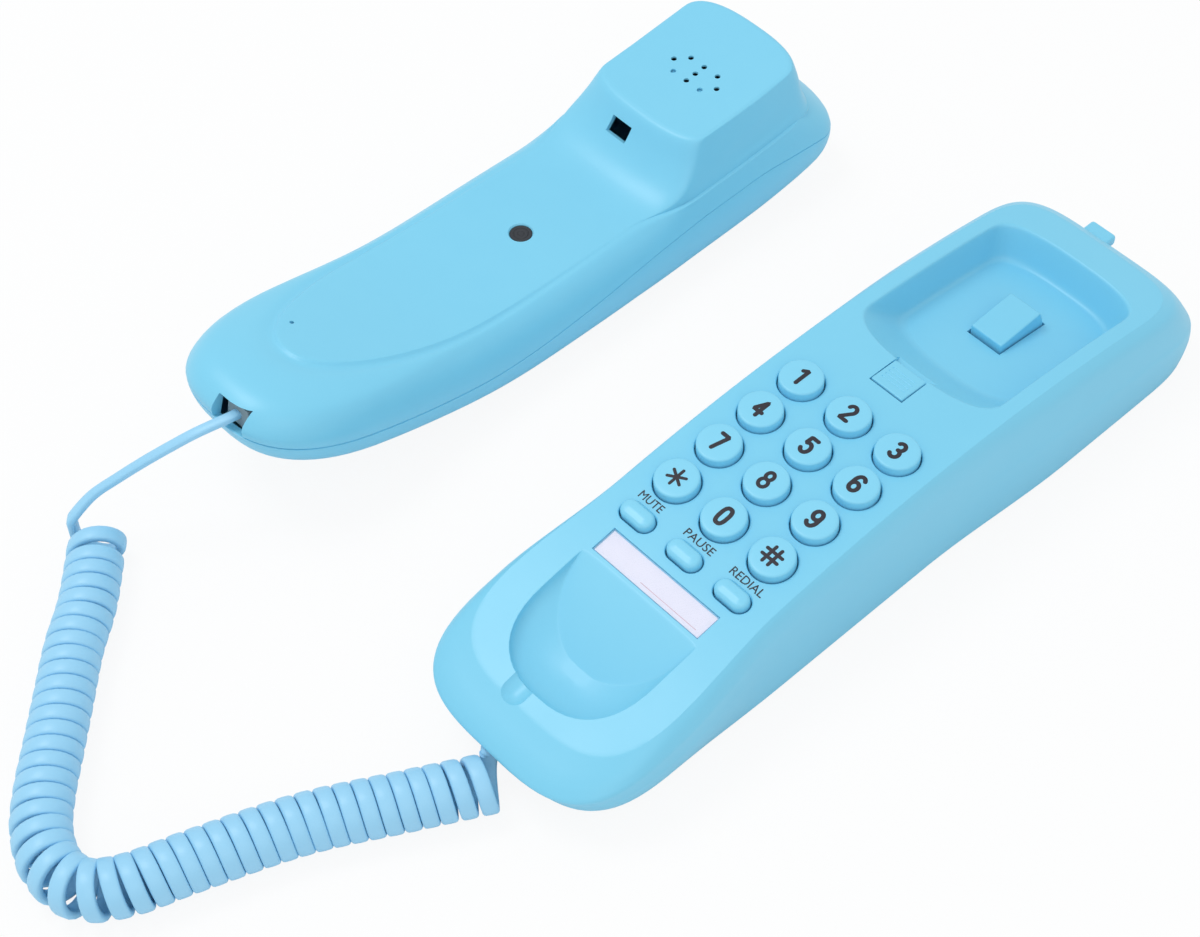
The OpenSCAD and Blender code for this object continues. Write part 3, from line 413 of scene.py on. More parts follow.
def fair(x, xs, ys):
    """A smooth curve through table values that never overshoots them."""
    xs, ys = np.asarray(xs, float), np.asarray(ys, float)
    h, d = np.diff(xs), np.diff(ys) / np.diff(xs)
    m = np.zeros(len(xs))
    for k in range(1, len(xs) - 1):
        if d[k - 1] * d[k] > 0:
            w1, w2 = 2 * h[k] + h[k - 1], h[k] + 2 * h[k - 1]
            m[k] = (w1 + w2) / (w1 / d[k - 1] + w2 / d[k])
    m[0], m[-1] = d[0], d[-1]
    x = np.clip(x, xs[0], xs[-1])
    k = np.clip(np.searchsorted(xs, x) - 1, 0, len(xs) - 2)
    t = (x - xs[k]) / h[k]
    return ((2 * t**3 - 3 * t**2 + 1) * ys[k] + (t**3 - 2 * t**2 + t) * h[k] * m[k]
            + (3 * t**2 - 2 * t**3) * ys[k + 1] + (t**3 - t**2) * h[k] * m[k + 1])


def finer(table, steps):
    """More rows between the rows of a table."""
    rows = np.arange(len(table))
    at = np.linspace(0, len(table) - 1, (len(table) - 1) * steps + 1)
    return np.stack([fair(at, rows, table[:, k]) for k in range(table.shape[1])], 1)


def stations(y0, y1, e0, e1, p0, p1, ends=14, middle=40):
    """Places along an outline and the share of the half width that each one has."""
    a = np.linspace(0, math.pi / 2, ends + 1)
    near, far = 1 - np.cos(a) ** (2 / p0), 1 - np.cos(a) ** (2 / p1)
    mid = np.linspace(y0 + e0, y1 - e1, middle + 1)[1:-1]
    y = np.concatenate([y0 + e0 * near, mid, (y1 - e1 * far)[::-1]])
    share = np.concatenate([np.sin(a) ** (2 / p0), np.ones(len(mid)), (np.sin(a) ** (2 / p1))[::-1]])
    return y, share


def ring(line, half, height):
    """A closed outline, up the right side and back down the left."""
    y, share = line
    x, z = half(y) * share, height(y)
    right_side = np.stack([x, y, z], 1)
    left_side = np.stack([-x, y, z], 1)[-2:0:-1]
    return np.concatenate([right_side, left_side])


def stack(name, rings):
    """A solid through a stack of outlines, closed by strips across both ends."""
    n = len(rings[0])
    half = n // 2
    faces = grid_faces(len(rings), n)
    for base, flip in ((0, True), ((len(rings) - 1) * n, False)):
        cap = [(base, base + 1, base + n - 1)]
        cap += [(base + i, base + i + 1, base + n - i - 1, base + n - i) for i in range(1, half - 1)]
        cap += [(base + half - 1, base + half, base + half + 1)]
        faces += [f[::-1] for f in cap] if flip else cap
    return piece(name, np.concatenate(rings), faces)


def base_half(level, y):
    waist = WAIST_W / 2 - level[4]
    return (waist + (MOUTH_W / 2 - level[3] - waist) * smooth((-45 - y) / 35)
            + (EAR_W / 2 - level[5] - waist) * smooth((y - 5) / 50))


def base_ring(level, inset=0):
    line = stations(-BASE_LEN / 2 + level[1] + inset, BASE_LEN / 2 - level[2] - inset,
                    32 - 0.4 * level[1] - inset, 30 - 0.4 * level[2] - inset, 3.4, 4.5, 20)
    return ring(line, lambda y: base_half(level, y) - inset,
                lambda y: FOOT_H + (deck(y) - inset - FOOT_H) * level[0])


fine_levels = finer(BASE_LEVELS, 5)
crown = fine_levels[-1] + [0, 0.8, 0.8, 0.8, 0.8, 0.8]
base_top = stack("base_housing", [base_ring(level) for level in fine_levels] + [base_ring(crown)])
print("outlines in the cover:", len(fine_levels) + 1)

# %% [markdown]
# ## Recesses in the deck
# The ear recess holds the earpiece's block. Its near wall slopes and its other walls are
# steep. The mouth recess is a flat slope that runs down from the index card and meets a
# round bowl in a crisp edge. Both are stacks of outlines too, each outline at one depth.

# %% Tools for the two recesses
EAR_DEPTH, EAR_HALF, EAR_NEAR, EAR_FAR = 9.7, 21.6, 26, 89
EAR_LEVELS = np.array([
    [1, 13.9, 5, 3.5], [0.99, 13.3, 4.4, 2.95], [0.95, 12.2, 3.8, 2.4], [0.86, 10.6, 3.2, 1.95],
    [0.5, 5.8, 1.9, 1.1], [0.14, 1.3, 0.65, 0.35], [0.05, 0.3, 0.25, 0.05],
    [0.014, -0.1, -0.1, -0.2], [0, -0.45, -0.45, -0.5]])
MOUTH_DEPTH, MOUTH_HALF, MOUTH_NEAR, MOUTH_FAR = 6.8, 18.6, -64, -96.3
LIFT_OUT = 3


def ear_ring(level, grow=0, rise=0):
    line = stations(EAR_NEAR + level[1] - grow, EAR_FAR - level[2] + grow, 9, 9, 2.5, 2.8, 10, 16)
    return ring(line, lambda y: EAR_HALF - level[3] + grow + 0 * y,
                lambda y: deck(y) - level[0] * EAR_DEPTH + rise)


def mouth_ring(share, grow=0, rise=0):
    bowl = math.sqrt(max(0, 1 - share**2))
    near, far = MOUTH_NEAR - 19 * share + grow, MOUTH_FAR + 12.5 * (1 - bowl) - grow
    line = stations(far, near, 0.62 * (near - far), 0.05 * (near - far), 2.5, 5, 12, 8)
    return ring(line, lambda y: MOUTH_HALF * bowl + grow + 0 * y,
                lambda y: deck(y) - share * MOUTH_DEPTH + rise)


def ear_tool():
    levels = finer(EAR_LEVELS, 3)
    return stack("ear_tool", [ear_ring(level) for level in levels] + [ear_ring(levels[-1], 0, LIFT_OUT)])


def mouth_tool():
    depths = [0.985, 0.97, 0.94, 0.9, 0.84, 0.77, 0.69, 0.6, 0.51, 0.42, 0.33, 0.24, 0.16, 0.09, 0.04]
    rings = [mouth_ring(share) for share in depths] + [mouth_ring(0.012, 0.04), mouth_ring(0, 0.2)]
    return stack("mouth_tool", rings + [mouth_ring(0, 0.2, LIFT_OUT)])


def hollow_tool():
    """The space inside the cover, with room left for the recess walls."""
    inner = [base_ring(level, WALL) for level in fine_levels[::4]]
    inner[0] = inner[0] - [0, 0, 2]
    space = stack("hollow", inner)
    ear_solid = stack("ear_solid", [ear_ring(level, WALL, -WALL) for level in EAR_LEVELS[:7]]
                      + [ear_ring(EAR_LEVELS[8], WALL, LIFT_OUT)])
    mouth_solid = stack("mouth_solid", [mouth_ring(d, WALL, -WALL) for d in (0.97, 0.8, 0.5, 0.2)]
                        + [mouth_ring(0, WALL, LIFT_OUT)])
    return combine(space, [ear_solid, mouth_solid])


combine(base_top, [hollow_tool()])
print("cover faces after hollowing:", len(base_top.data.polygons))

# %% [markdown]
# ## Openings in the deck
# Each key comes up through its own hole with a narrow even gap. The hole's rim is rounded
# and follows the deck's slope. The hook button, the hanger tab and the index card have
# plain openings, and a thumb notch breaks the rim of the mouth recess.

# %% Tools for the openings
COL_PITCH, ROW_PITCH, ROW_1, KEY_HOLE_R = 15.5, 13.72, 3.58, 5.87
OBLONG_Y, OBLONG_L, OBLONG_W, OBLONG_X = -50.3, 10.2, 5.6, (-15.4, 0, 15.4)
HOOK_W, HOOK_NEAR, HOOK_FAR, HOOK_RISE = 9.9, 54.5, 69.3, 5
PIN_Y, PIN_Z = 57.1, deck(54.5) - EAR_DEPTH - 4
TAB_W, TAB_NEAR, TAB_L, TAB_T, GROOVE_END = 9.9, 16.7, 8.8, 2.2, 33.7
TAB_Z = deck(TAB_NEAR + TAB_L / 2)
CARD_Y, CARD_L, CARD_W, CARD_SINK = -59.5, 34.2, 7, 0.9
rim = [(0, -8), (0, -0.45), (0.04, -0.25), (0.14, -0.1), (0.32, 0), (0.5, 0.02), (0.5, 4)]


def round_outline(r):
    a = round_angles(48)
    return np.stack([r * np.cos(a), r * np.sin(a)], 1)


def oblong_outline(length, width):
    r = width / 2
    a = np.linspace(-np.pi / 2, np.pi / 2, 20)
    end = np.stack([length / 2 - r + r * np.cos(a), r * np.sin(a)], 1)
    return np.concatenate([end, -end])


def column(name, outline, levels, at):
    """A column whose outlines follow the deck at a place, but for the lowest one."""
    rings = [np.column_stack([at[0] + o[:, 0], at[1] + o[:, 1],
                              z + (deck(at[1] + o[:, 1]) - deck(at[1])) * (z > -7) + deck(at[1])])
             for o, z in ((outline(grow), z) for grow, z in levels)]
    n = len(rings[0])
    return piece(name, np.concatenate(rings), tube_faces(len(rings), n))


tools = []
for col in (-1, 0, 1):
    for row in range(4):
        tools.append(column("key_hole", lambda g: round_outline(KEY_HOLE_R + g), rim,
                            (col * COL_PITCH, ROW_1 - row * ROW_PITCH)))
for x in OBLONG_X:
    tools.append(column("oblong_hole", lambda g: oblong_outline(OBLONG_L + 2 * g, OBLONG_W + 2 * g),
                        rim, (x, OBLONG_Y)))
print("key holes:", len(tools))


# %% Cut the deck
def thumb_tool():
    """A ball end and a round channel that opens into the mouth recess."""
    a = np.linspace(0, np.pi / 2, 8)
    profile = [(4.4 * math.sin(t), -4.4 * math.cos(t)) for t in a] + [(4.4, 9), (0, 9)]
    obj = lathe("thumb_tool", profile, 40)
    y = MOUTH_FAR - 3.2
    slope = math.atan((DECK_TOP - y) / DECK_R)
    obj.data.transform(moved(-4.2, y, deck(y) + 2.9) @ Matrix.Rotation(slope, 4, "X")
                       @ Matrix.Rotation(-math.pi / 2, 4, "X"))
    return obj


tools += [
    ear_tool(), mouth_tool(), thumb_tool(),
    box("hook_tool", (-HOOK_W / 2 - 0.4, HOOK_NEAR - 0.8, 10), (HOOK_W / 2 + 0.4, 71.65, 26)),
    box("tab_tool", (-TAB_W / 2 - 0.3, TAB_NEAR - 0.35, TAB_Z - TAB_T - 0.2),
        (TAB_W / 2 + 0.3, GROOVE_END, 38)),
    box("rail_tool", (-TAB_W / 2 - 1.1, TAB_NEAR - 0.2, TAB_Z - TAB_T - 0.2),
        (TAB_W / 2 + 1.1, GROOVE_END, TAB_Z - TAB_T + 1.2)),
    laid_on_deck(box("card_tool", (-(CARD_L + 0.4) / 2, -(CARD_W + 0.4) / 2, -CARD_SINK - 0.02),
                     ((CARD_L + 0.4) / 2, (CARD_W + 0.4) / 2, 3)), CARD_Y),
    box("cord_tool", (-4.7, -116, 4.25), (4.7, -101.2, 12.65)),
    box("line_tool", (4.7, 105.6, 4.5), (15.3, 116, 13))]
combine(base_top, tools)
print("cover faces after cutting:", len(base_top.data.polygons))

# %% Add the tongue on the ear end
tongue = box("tongue", (-9.7, 99, 18.2), (-1.7, 108.4, 21.5))
rounded(tongue, 0.9)
combine(base_top, [tongue], "UNION")
even_normals(base_top, 24)
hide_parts("base_top_cover")
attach(base_top, "base")
print("cover faces:", len(base_top.data.polygons))

# %% [markdown]
# ## Keys
# The twelve round keys are one moulded shape: a low drum with a rounded rim and a very
# slightly domed top. The drum is sheared so that its top follows the deck's slope, while
# its sides stay upright in the hole. The three oblong keys have pillow tops.

# %% Round keys
KEY_GAP, KEY_RISE = 0.36, 2.3
KEY_R = KEY_HOLE_R - KEY_GAP
ROUND_KEYS = [("1", -1, 0), ("2", 0, 0), ("3", 1, 0), ("4", -1, 1), ("5", 0, 1), ("6", 1, 1),
              ("7", -1, 2), ("8", 0, 2), ("9", 1, 2), ("star", -1, 3), ("0", 0, 3), ("hash", 1, 3)]
drum = [(0, -3.3), (KEY_HOLE_R + 0.8, -3.3), (KEY_HOLE_R + 0.8, -2.5), (KEY_R + 0.15, -2.5),
        (KEY_R + 0.04, 0), (KEY_R, KEY_RISE - 0.75)]
drum += [(KEY_R - 0.6 + 0.6 * math.cos(a), KEY_RISE - 0.75 + 0.6 * math.sin(a))
         for a in np.linspace(0.15, 1.5, 9)]
drum += [(r, KEY_RISE - 0.15 + 0.1 * (1 - (r / KEY_R) ** 2)) for r in (4.3, 3.5, 2.5, 1.2)]
drum += [(0, KEY_RISE - 0.05)]


def on_deck(x, y):
    """Turns a point that stands on a flat deck into one on the sloping deck."""
    slope = (DECK_TOP - y) / DECK_R
    return lambda p: np.array([x + p[0], y + p[1] - slope * p[2], deck(y) + p[2] + slope * p[1]])


keys = {}
for name, col, row in ROUND_KEYS:
    keys[name] = lathe("keycap_" + name, drum, 72, on_deck(col * COL_PITCH, ROW_1 - row * ROW_PITCH))
print("round keys:", len(keys))


# %% Oblong keys
def pillow(name, x):
    """A key whose top falls away evenly towards its edge."""
    length, width = OBLONG_L - 2 * KEY_GAP, OBLONG_W - 2 * KEY_GAP
    place = on_deck(x, OBLONG_Y)
    rings = [(0.8 + KEY_GAP, -3.3), (0.8 + KEY_GAP, -2.5), (0.1, -2.5), (0, KEY_RISE - 1.5)]
    rings += [(-1.2 * (1 - math.cos(a)), KEY_RISE - 1.5 + 1.2 * math.sin(a))
              for a in np.linspace(0.2, 1.45, 9)]
    rings += [(-1.6, KEY_RISE - 0.17), (-2.15, KEY_RISE - 0.05)]
    points = [place((px, py, z)) for grow, z in rings
              for px, py in oblong_outline(length + 2 * grow, width + 2 * grow)]
    n = len(oblong_outline(length, width))
    return piece(name, points, tube_faces(len(rings), n), 45)


for name, x in zip(("mute", "pause", "redial"), OBLONG_X):
    keys[name] = pillow("keycap_" + name, x)
for name, obj in keys.items():
    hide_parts("key_" + name)
    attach(obj, f"key_{name}_cap")
print("keys in all:", len(keys))

# %% [markdown]
# ## Numbers on the keys
# The numbers are pad-printed in dark ink with a bold rounded stroke. Each one is a few
# lines and arcs in a box two units wide and four high, and a flat round-ended ribbon of
# ink follows every line. The two signs beside the zero are straight strokes.

# %% Draw the numbers
def arc(cx, cy, rx, ry, start, end):
    a = np.radians(np.linspace(start, end, 22))
    return np.stack([cx + rx * np.cos(a), cy + ry * np.sin(a)], 1)


def loop(cx, cy, rx, ry, power=2.0):
    a = np.linspace(0, 2 * np.pi, 41)
    return np.stack([cx + rx * squared(np.cos(a), 2 / power), cy + ry * squared(np.sin(a), 2 / power)], 1)


six = [loop(0, -0.9, 0.98, 1.1), np.concatenate([arc(0.1, 0.5, 1.08, 1.5, 38, 180), [(-0.98, -0.9)]])]
STROKES = {
    "1": [[(-0.75, 1.3), (0.3, 2), (0.3, -2)]],
    "2": [np.concatenate([arc(0, 0.95, 0.95, 1.05, 165, -35), [(-0.95, -2), (1.05, -2)]])],
    "3": [arc(0, 1.02, 0.9, 0.98, 150, -88), arc(0, -0.95, 1, 1.05, 88, -150)],
    "4": [[(0.4, -2), (0.4, 2), (-1.1, -0.85), (1.1, -0.85)]],
    "5": [np.concatenate([[(0.95, 2), (-0.7, 2), (-0.82, 0.3)], arc(0, -0.7, 1, 1.3, 125, -150)])],
    "6": six,
    "7": [[(-0.95, 2), (0.95, 2), (-0.25, -2)]],
    "8": [loop(0, 1.02, 0.85, 0.98), loop(0, -0.95, 1, 1.05)],
    "9": [-part for part in six],
    "0": [loop(0, 0, 1, 2, 2.7)],
    "star": [[(2.05 * math.cos(a), 1.95 * math.sin(a)), (-2.05 * math.cos(a), -1.95 * math.sin(a))]
             for a in np.radians((90, 30, 150))],
    "hash": [[(s * 0.8, -2), (s * 0.8, 2)] for s in (-1, 1)]
            + [[(-2.05, s * 0.75), (2.05, s * 0.75)] for s in (-1, 1)]}
DIGIT_X, DIGIT_Y, INK_W, INK_T = 1.12, 1.18, 1.08, 0.09


def ink_stroke(name, line, place, width):
    """A flat ribbon of ink with round ends along a flat line."""
    line = np.asarray(line, float)
    steps_at = np.concatenate([[0], np.cumsum(np.linalg.norm(np.diff(line, axis=0), axis=1))])
    at = np.unique(np.concatenate([steps_at, np.arange(0, steps_at[-1], 0.35)]))
    line = np.stack([np.interp(at, steps_at, line[:, k]) for k in (0, 1)], 1)
    closed = np.linalg.norm(line[0] - line[-1]) < 1e-6
    half = width / 2
    if closed:
        wide = np.full(len(line), width)
    else:
        tips = np.array([1, 0.94, 0.8, 0.6, 0.35])
        first, last = unit(line[0] - line[1]), unit(line[-1] - line[-2])
        line = np.concatenate([line[0] + half * tips[:, None] * first, line,
                               line[-1] + half * tips[::-1, None] * last])
        tip_wide = width * np.sqrt(1 - np.minimum(tips, 0.995) ** 2)
        wide = np.concatenate([tip_wide, np.full(len(line) - 10, width), tip_wide[::-1]])
    way = unit(np.gradient(line, axis=0))
    if closed:
        way[0] = way[-1] = unit(line[1] - line[-2])
    side = np.stack([-way[:, 1], way[:, 0]], 1)
    points = []
    for p, s, w in zip(line, side, wide):
        for across_at, up in ((0.5, -0.06), (0.5, INK_T * 0.55), (0, INK_T), (-0.5, INK_T * 0.55),
                              (-0.5, -0.06)):
            points.append(place((*(p + s * w * across_at), up)))
    return piece(name, points, [face[::-1] for face in tube_faces(len(line), 5)], 40)


digits = []
for name, col, row in ROUND_KEYS:
    place = on_deck(col * COL_PITCH, ROW_1 - row * ROW_PITCH)
    parts = [ink_stroke("stroke", np.asarray(part) * (DIGIT_X, DIGIT_Y),
                        lambda p, place=place: place((p[0], p[1], p[2] + KEY_RISE - 0.15
                                                      + 0.1 * (1 - (p[0]**2 + p[1]**2) / KEY_R**2))),
                        INK_W * {"star": 0.72, "hash": 0.8, "8": 0.9}.get(name, 1))
             for part in STROKES[name]]
    digit = joined("number_" + name, parts)
    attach(digit, f"key_{name}_cap")
    digits.append(digit)
print("numbers:", len(digits))

# %% [markdown]
# ## Words on the deck
# Three plain words name the oblong keys. They are set with Blender's own letters, turned
# into flat meshes, and laid on the curved deck with a hair of thickness, like ink.

# %% Set the words
WORDS = (("MUTE", -16.0, 7.2), ("PAUSE", -0.1, 9.0), ("REDIAL", 15.3, 10.0))
WORD_Y, WORD_H = -45.35, 2.15


def word(text, x, length):
    """One word as thin flat letters that follow the deck."""
    curve = bpy.data.curves.new("word_" + text, "FONT")
    curve.body, curve.size = text, 1
    curve.extrude, curve.resolution_u = 0.02, 3
    obj = in_scene("word_" + text, curve)
    bpy.context.view_layer.update()
    mesh = bpy.data.meshes.new_from_object(obj.evaluated_get(bpy.context.evaluated_depsgraph_get()))
    bpy.data.objects.remove(obj)
    points = np.array([v.co for v in mesh.vertices])
    low, high = points.min(0), points.max(0)
    flat = (points - (low + high) / 2) / (high - low)
    place = on_deck(x, WORD_Y)
    for vertex, (u, v, w) in zip(mesh.vertices, flat):
        vertex.co = place((u * length, v * WORD_H, 0.02 + 0.08 * w)) * MM
    return in_scene("word_" + text, mesh)


words = [word(*row) for row in WORDS]
for obj in words:
    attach(obj, "base")
print("words:", [obj.name for obj in words])

# %% [markdown]
# ## Hook button, hanger tab and index card
# The hook button is a hollow wedge that the handset's weight pushes down. The hanger tab
# slides in a groove, and its ridges help a thumb. The card lies in its pocket under a
# clear window, with a plain red line along its lower edge.

# %% Hook button and hanger tab
def ear_floor(y):
    return deck(y) - EAR_DEPTH


def side_circle(y, z, r, count):
    return [(y + r * math.cos(a), z + r * math.sin(a)) for a in round_angles(count)]


def prism(name, outline, half, bevel=0.0):
    """A solid between two copies of a side view, given as (y, z) points."""
    n = len(outline)
    points = [(x, y, z) for x in (-half, half) for y, z in outline]
    faces = [tuple(range(n))[::-1], tuple(range(n, 2 * n))]
    faces += [(k, (k + 1) % n, n + (k + 1) % n, n + k) for k in range(n)]
    obj = turned_out(piece(name, points, faces))
    return rounded(obj, bevel) if bevel else obj


top_near, top_far = ear_floor(HOOK_NEAR) + 2.3, ear_floor(HOOK_FAR) + HOOK_RISE
swing = math.hypot(HOOK_FAR - PIN_Y, top_far - PIN_Z)
angles = np.linspace(math.atan2(top_far - PIN_Z, HOOK_FAR - PIN_Y), math.asin(-1 / swing), 9)
side_view = [(HOOK_NEAR, PIN_Z - 1), (HOOK_NEAR, top_near)]
side_view += [(PIN_Y + swing * math.cos(a), PIN_Z + swing * math.sin(a)) for a in angles]
hook = prism("hook_wedge", side_view[::-1], HOOK_W / 2, 0.45)
barrel = prism("hook_barrel", side_circle(PIN_Y, PIN_Z, 2.2, 32), HOOK_W / 2)
bore = prism("hook_bore", side_circle(PIN_Y, PIN_Z, 1.08, 32), HOOK_W)
combine(hook, [barrel], "UNION")
combine(hook, [bore])
even_normals(hook)
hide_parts("hook_button")
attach(hook, "hook")

TAB_LIP = 0.5


def tab_top(y):
    """The tab rises a little towards its near edge, so that a thumb can push it."""
    return TAB_Z + TAB_LIP * (1 - (y - TAB_NEAR) / TAB_L)


tab = prism("hanger_top", [(TAB_NEAR, TAB_Z - TAB_T), (TAB_NEAR + TAB_L, TAB_Z - TAB_T),
                           (TAB_NEAR + TAB_L, TAB_Z), (TAB_NEAR, tab_top(TAB_NEAR))], TAB_W / 2, 0.35)
rails = box("hanger_rails", (-TAB_W / 2 - 0.9, TAB_NEAR, TAB_Z - TAB_T),
            (TAB_W / 2 + 0.9, TAB_NEAR + TAB_L, TAB_Z - TAB_T + 1))
combine(tab, [rails], "UNION")
grooves = []
for y in TAB_NEAR + 2.5 + 1.3 * np.arange(4):
    grooves.append(prism("groove", side_circle(y, tab_top(y) + 0.12, 0.3, 12), TAB_W / 2 - 1.3))
combine(tab, grooves)
even_normals(tab)
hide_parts("hanger_tab")
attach(tab, "hanger")
print("hook and tab ready")

# %% Index card and window
def card_plate(name, length, width, z0, z1, bevel, x=0.0, y=0.0):
    obj = box(name, (x - length / 2, y - width / 2, z0), (x + length / 2, y + width / 2, z1))
    return laid_on_deck(rounded(obj, bevel, 2), CARD_Y)


card = card_plate("card_sheet", CARD_L - 0.4, CARD_W - 0.4, -CARD_SINK, 0.3 - CARD_SINK, 0.04)
window = card_plate("card_cover", CARD_L, CARD_W, 0.3 - CARD_SINK, 0.8 - CARD_SINK, 0.12)
card_line = card_plate("card_line", 18, 0.18, 0.29 - CARD_SINK, 0.315 - CARD_SINK, 0.004, 6.2, -2.1)
for obj, node, slot in ((card, "index_card", "card"), (window, "card_window", "clear_plastic")):
    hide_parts(node)
    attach(obj, "base")
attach(card_line, "base")
print("card ready")

# %% [markdown]
# ## Handset shells
# The handset is two shells that meet in a thin groove along its side. Each shell is a
# stack of outlines between the parting line and its outer face. The front one carries
# the ear block, which grows out of the face through a hollow fillet, and a shallow
# valley runs round the end of the flat face. Its tables hold how far the sides and the
# two ends stand in at each height.

# %% Curves of the handset
HS_MOUTH, HS_EAR, HS_HALF, HS_T, HS_R, HS_LOW, SIDE_R = 100, 98, 27.5, 23, 385, 27.6, 1700
HS_AT = np.array([-108.2, -4, 0])
MOUTH_TIP, EAR_TIP = -102, 98
HALF_IN = [(0, 13.5), (1.5, 7.7), (4, 1.6), (8, 0.2), (12, 0), (16, 1), (20, 3.3), (22.2, 5.8),
           (22.85, 7.3), (23, 8.3)]
MOUTH_IN = [(0, 9), (1.5, 5), (4, 2.4), (8, 0.5), (12, 0), (16, 2), (20, 7), (22.3, 16.5), (23, 23.5)]
EAR_IN = [(0, 7), (1.5, 3.6), (4, 1.2), (8, 0), (12, 0.9), (16, 4), (20, 7.6), (22.3, 9.6), (23, 10.2)]
SHOULDER = [(0, 0), (16, 0.2), (20, 1.2), (22.3, 3), (23, 4.4)]
PARTING = [(-102, 10.2), (-60, 10.4), (-37, 11), (0, 13.6), (28, 16.2), (45, 17), (60, 17),
           (77, 14.8), (98, 9.6)]
BLOCK = np.array([
    [19.2, 20, 87.6, 22.6], [20.4, 18, 88.6, 23.4], [21.6, 16, 89, 23.9], [22.7, 13.5, 89, 24],
    [23.01, 14.5, 88.8, 23.85], [23.05, 18, 88.7, 23.8], [23.18, 21.4, 88.6, 23.7],
    [23.5, 24.8, 88.4, 23.5], [24.2, 28.2, 88.1, 23.1], [25.5, 31.5, 87.7, 22.5],
    [27.4, 34.4, 87.3, 21.9], [29.6, 36.7, 87, 21.35], [32, 38.6, 86.7, 20.85],
    [34.6, 40.2, 86.2, 20.3], [36, 41.2, 85.8, 19.8], [36.7, 42.1, 85.2, 19.2],
    [37, 43.4, 84.4, 18.3]])
JACK_X, JACK_Y = 7.2, -94


def lift(y):
    return (y - HS_LOW) ** 2 / (2 * HS_R)


def sag(y):
    """The grip dips a little below an even curve, nearer its mouth end."""
    return 3 * np.exp(-((y + 36) / 31) ** 2)


def looked_up(t, table):
    return fair(t, *zip(*table))


def parting(y):
    return looked_up(y, PARTING)


def face_z(y):
    return HS_T + lift(y) - sag(y)


def body_half(y, t):
    return (HS_HALF - y**2 / (2 * SIDE_R) - looked_up(t, HALF_IN) - 0.8 * smooth((-55 - y) / 45)
            + 1.5 * smooth((y - 35) / 45) + looked_up(t, SHOULDER) * smooth((y - 20) / 20))


def hs_ring(share, t, inset=0, rise=0, dip=0):
    """An outline part of the way from the parting line to a height t."""
    def level(y):
        return parting(y) + (t - parting(y)) * share
    t0, t1 = level(MOUTH_TIP), level(EAR_TIP)
    face = smooth((t0 - 20) / 3)
    line = stations(-HS_MOUTH + looked_up(t0, MOUTH_IN) + inset, HS_EAR - looked_up(t1, EAR_IN) - inset,
                    34 + 16 * face - inset, 14 - inset, 2.8 - 0.5 * face, 2.7, 16, 44)
    points = ring(line, lambda y: body_half(y, level(y)) - inset,
                  lambda y: level(y) + lift(y) - sag(y) + rise - dip * smooth((38 - y) / 95))
    points[:, 0] += 2 * smooth((-40 - points[:, 1]) / 60)
    return points + HS_AT


def block_ring(level, inset=0, down=0):
    line = stations(level[1] + inset, level[2] - inset, 6.5 - inset, 8 - inset, 2.5, 2.6, 14, 16)
    lean = 0.3 * max(0, level[0] - HS_T)
    return ring(line, lambda y: np.minimum(level[3], body_half(y, HS_T) - lean) - inset,
                lambda y: level[0] - down + lift(y) - sag(y)) + HS_AT


print("handset tables ready")

# %% Front shell
SEAM = 0.35
shares = [(0, SEAM, 0), (0, 0, SEAM * 0.8)]
shares += [(s, 0, 0) for s in (0.08, 0.17, 0.27, 0.37, 0.47, 0.57, 0.66, 0.74, 0.81, 0.87, 0.915)]
shares += [(0.945, 0, 0, 0.04), (0.965, 0, 0, 0.26), (0.98, 0, 0, 0.64), (0.989, 0, 0, 0.76),
           (0.994, 0, 0, 0.56), (0.997, 0, 0, 0.24), (1, 0, 0), (1, 0.5, 0, -0.08), (1, 1.4, 0, -0.1)]
front = stack("handset_front", [hs_ring(row[0], HS_T, *row[1:]) for row in shares])
block = stack("ear_block", [block_ring(level) for level in finer(BLOCK, 3)])
combine(front, [block], "UNION")
inner = stack("front_hollow", [hs_ring(0, HS_T, WALL, -2)]
              + [hs_ring(s, HS_T, WALL, -WALL * (s == 1)) for s in (0, 0.4, 0.75, 1)])
block_inner = stack("block_hollow", [block_ring((18, 39, 86.5, 19.5), WALL),
                                     block_ring(BLOCK[10], WALL), block_ring(BLOCK[13], WALL, -0.2),
                                     block_ring((36.3, 43, 86, 19.3), WALL, WALL)])
combine(front, [inner, block_inner])
print("front shell faces:", len(front.data.polygons))

# %% Openings of the front shell
GRILLE = [(-5, -3.3), (0, -3.3), (5, -3.3), (-8.1, 0), (0, 0), (8, 0), (-5, 3.3), (0, 3.3), (5, 3.3)]
GRILLE_AT, SCREW_AT, PIN_HOLE_AT = (1, 62), (1.5, -1), (-6, -69)


def drill(name, x, y, z0, z1, r, bevel=0.0, under=0.0):
    """A cylinder for cutting, with a flare at its upper end and perhaps a wider lower part."""
    profile = [(0, z0), (r + under, z0), (r + under, z1 - 0.9), (r, z1 - 0.45), (r, z1 - 0.4),
               (r + bevel, z1 + 0.05), (r + bevel, z1 + 2), (0, z1 + 2)]
    obj = lathe(name, profile, 32)
    obj.data.transform(Matrix.Translation((HS_AT + (x, y, 0)) * MM))
    return obj


def frustum(name, near, far):
    """A four-sided cutter between two rectangles, each as (y, half width, half height)."""
    points = [(sx * w, y, sz * h) for y, w, h in (near, far)
              for sx, sz in ((-1, -1), (1, -1), (1, 1), (-1, 1))]
    return piece(name, points, [(0, 1, 2, 3), (7, 6, 5, 4), (4, 5, 1, 0), (5, 6, 2, 1), (6, 7, 3, 2),
                                (7, 4, 0, 3)])


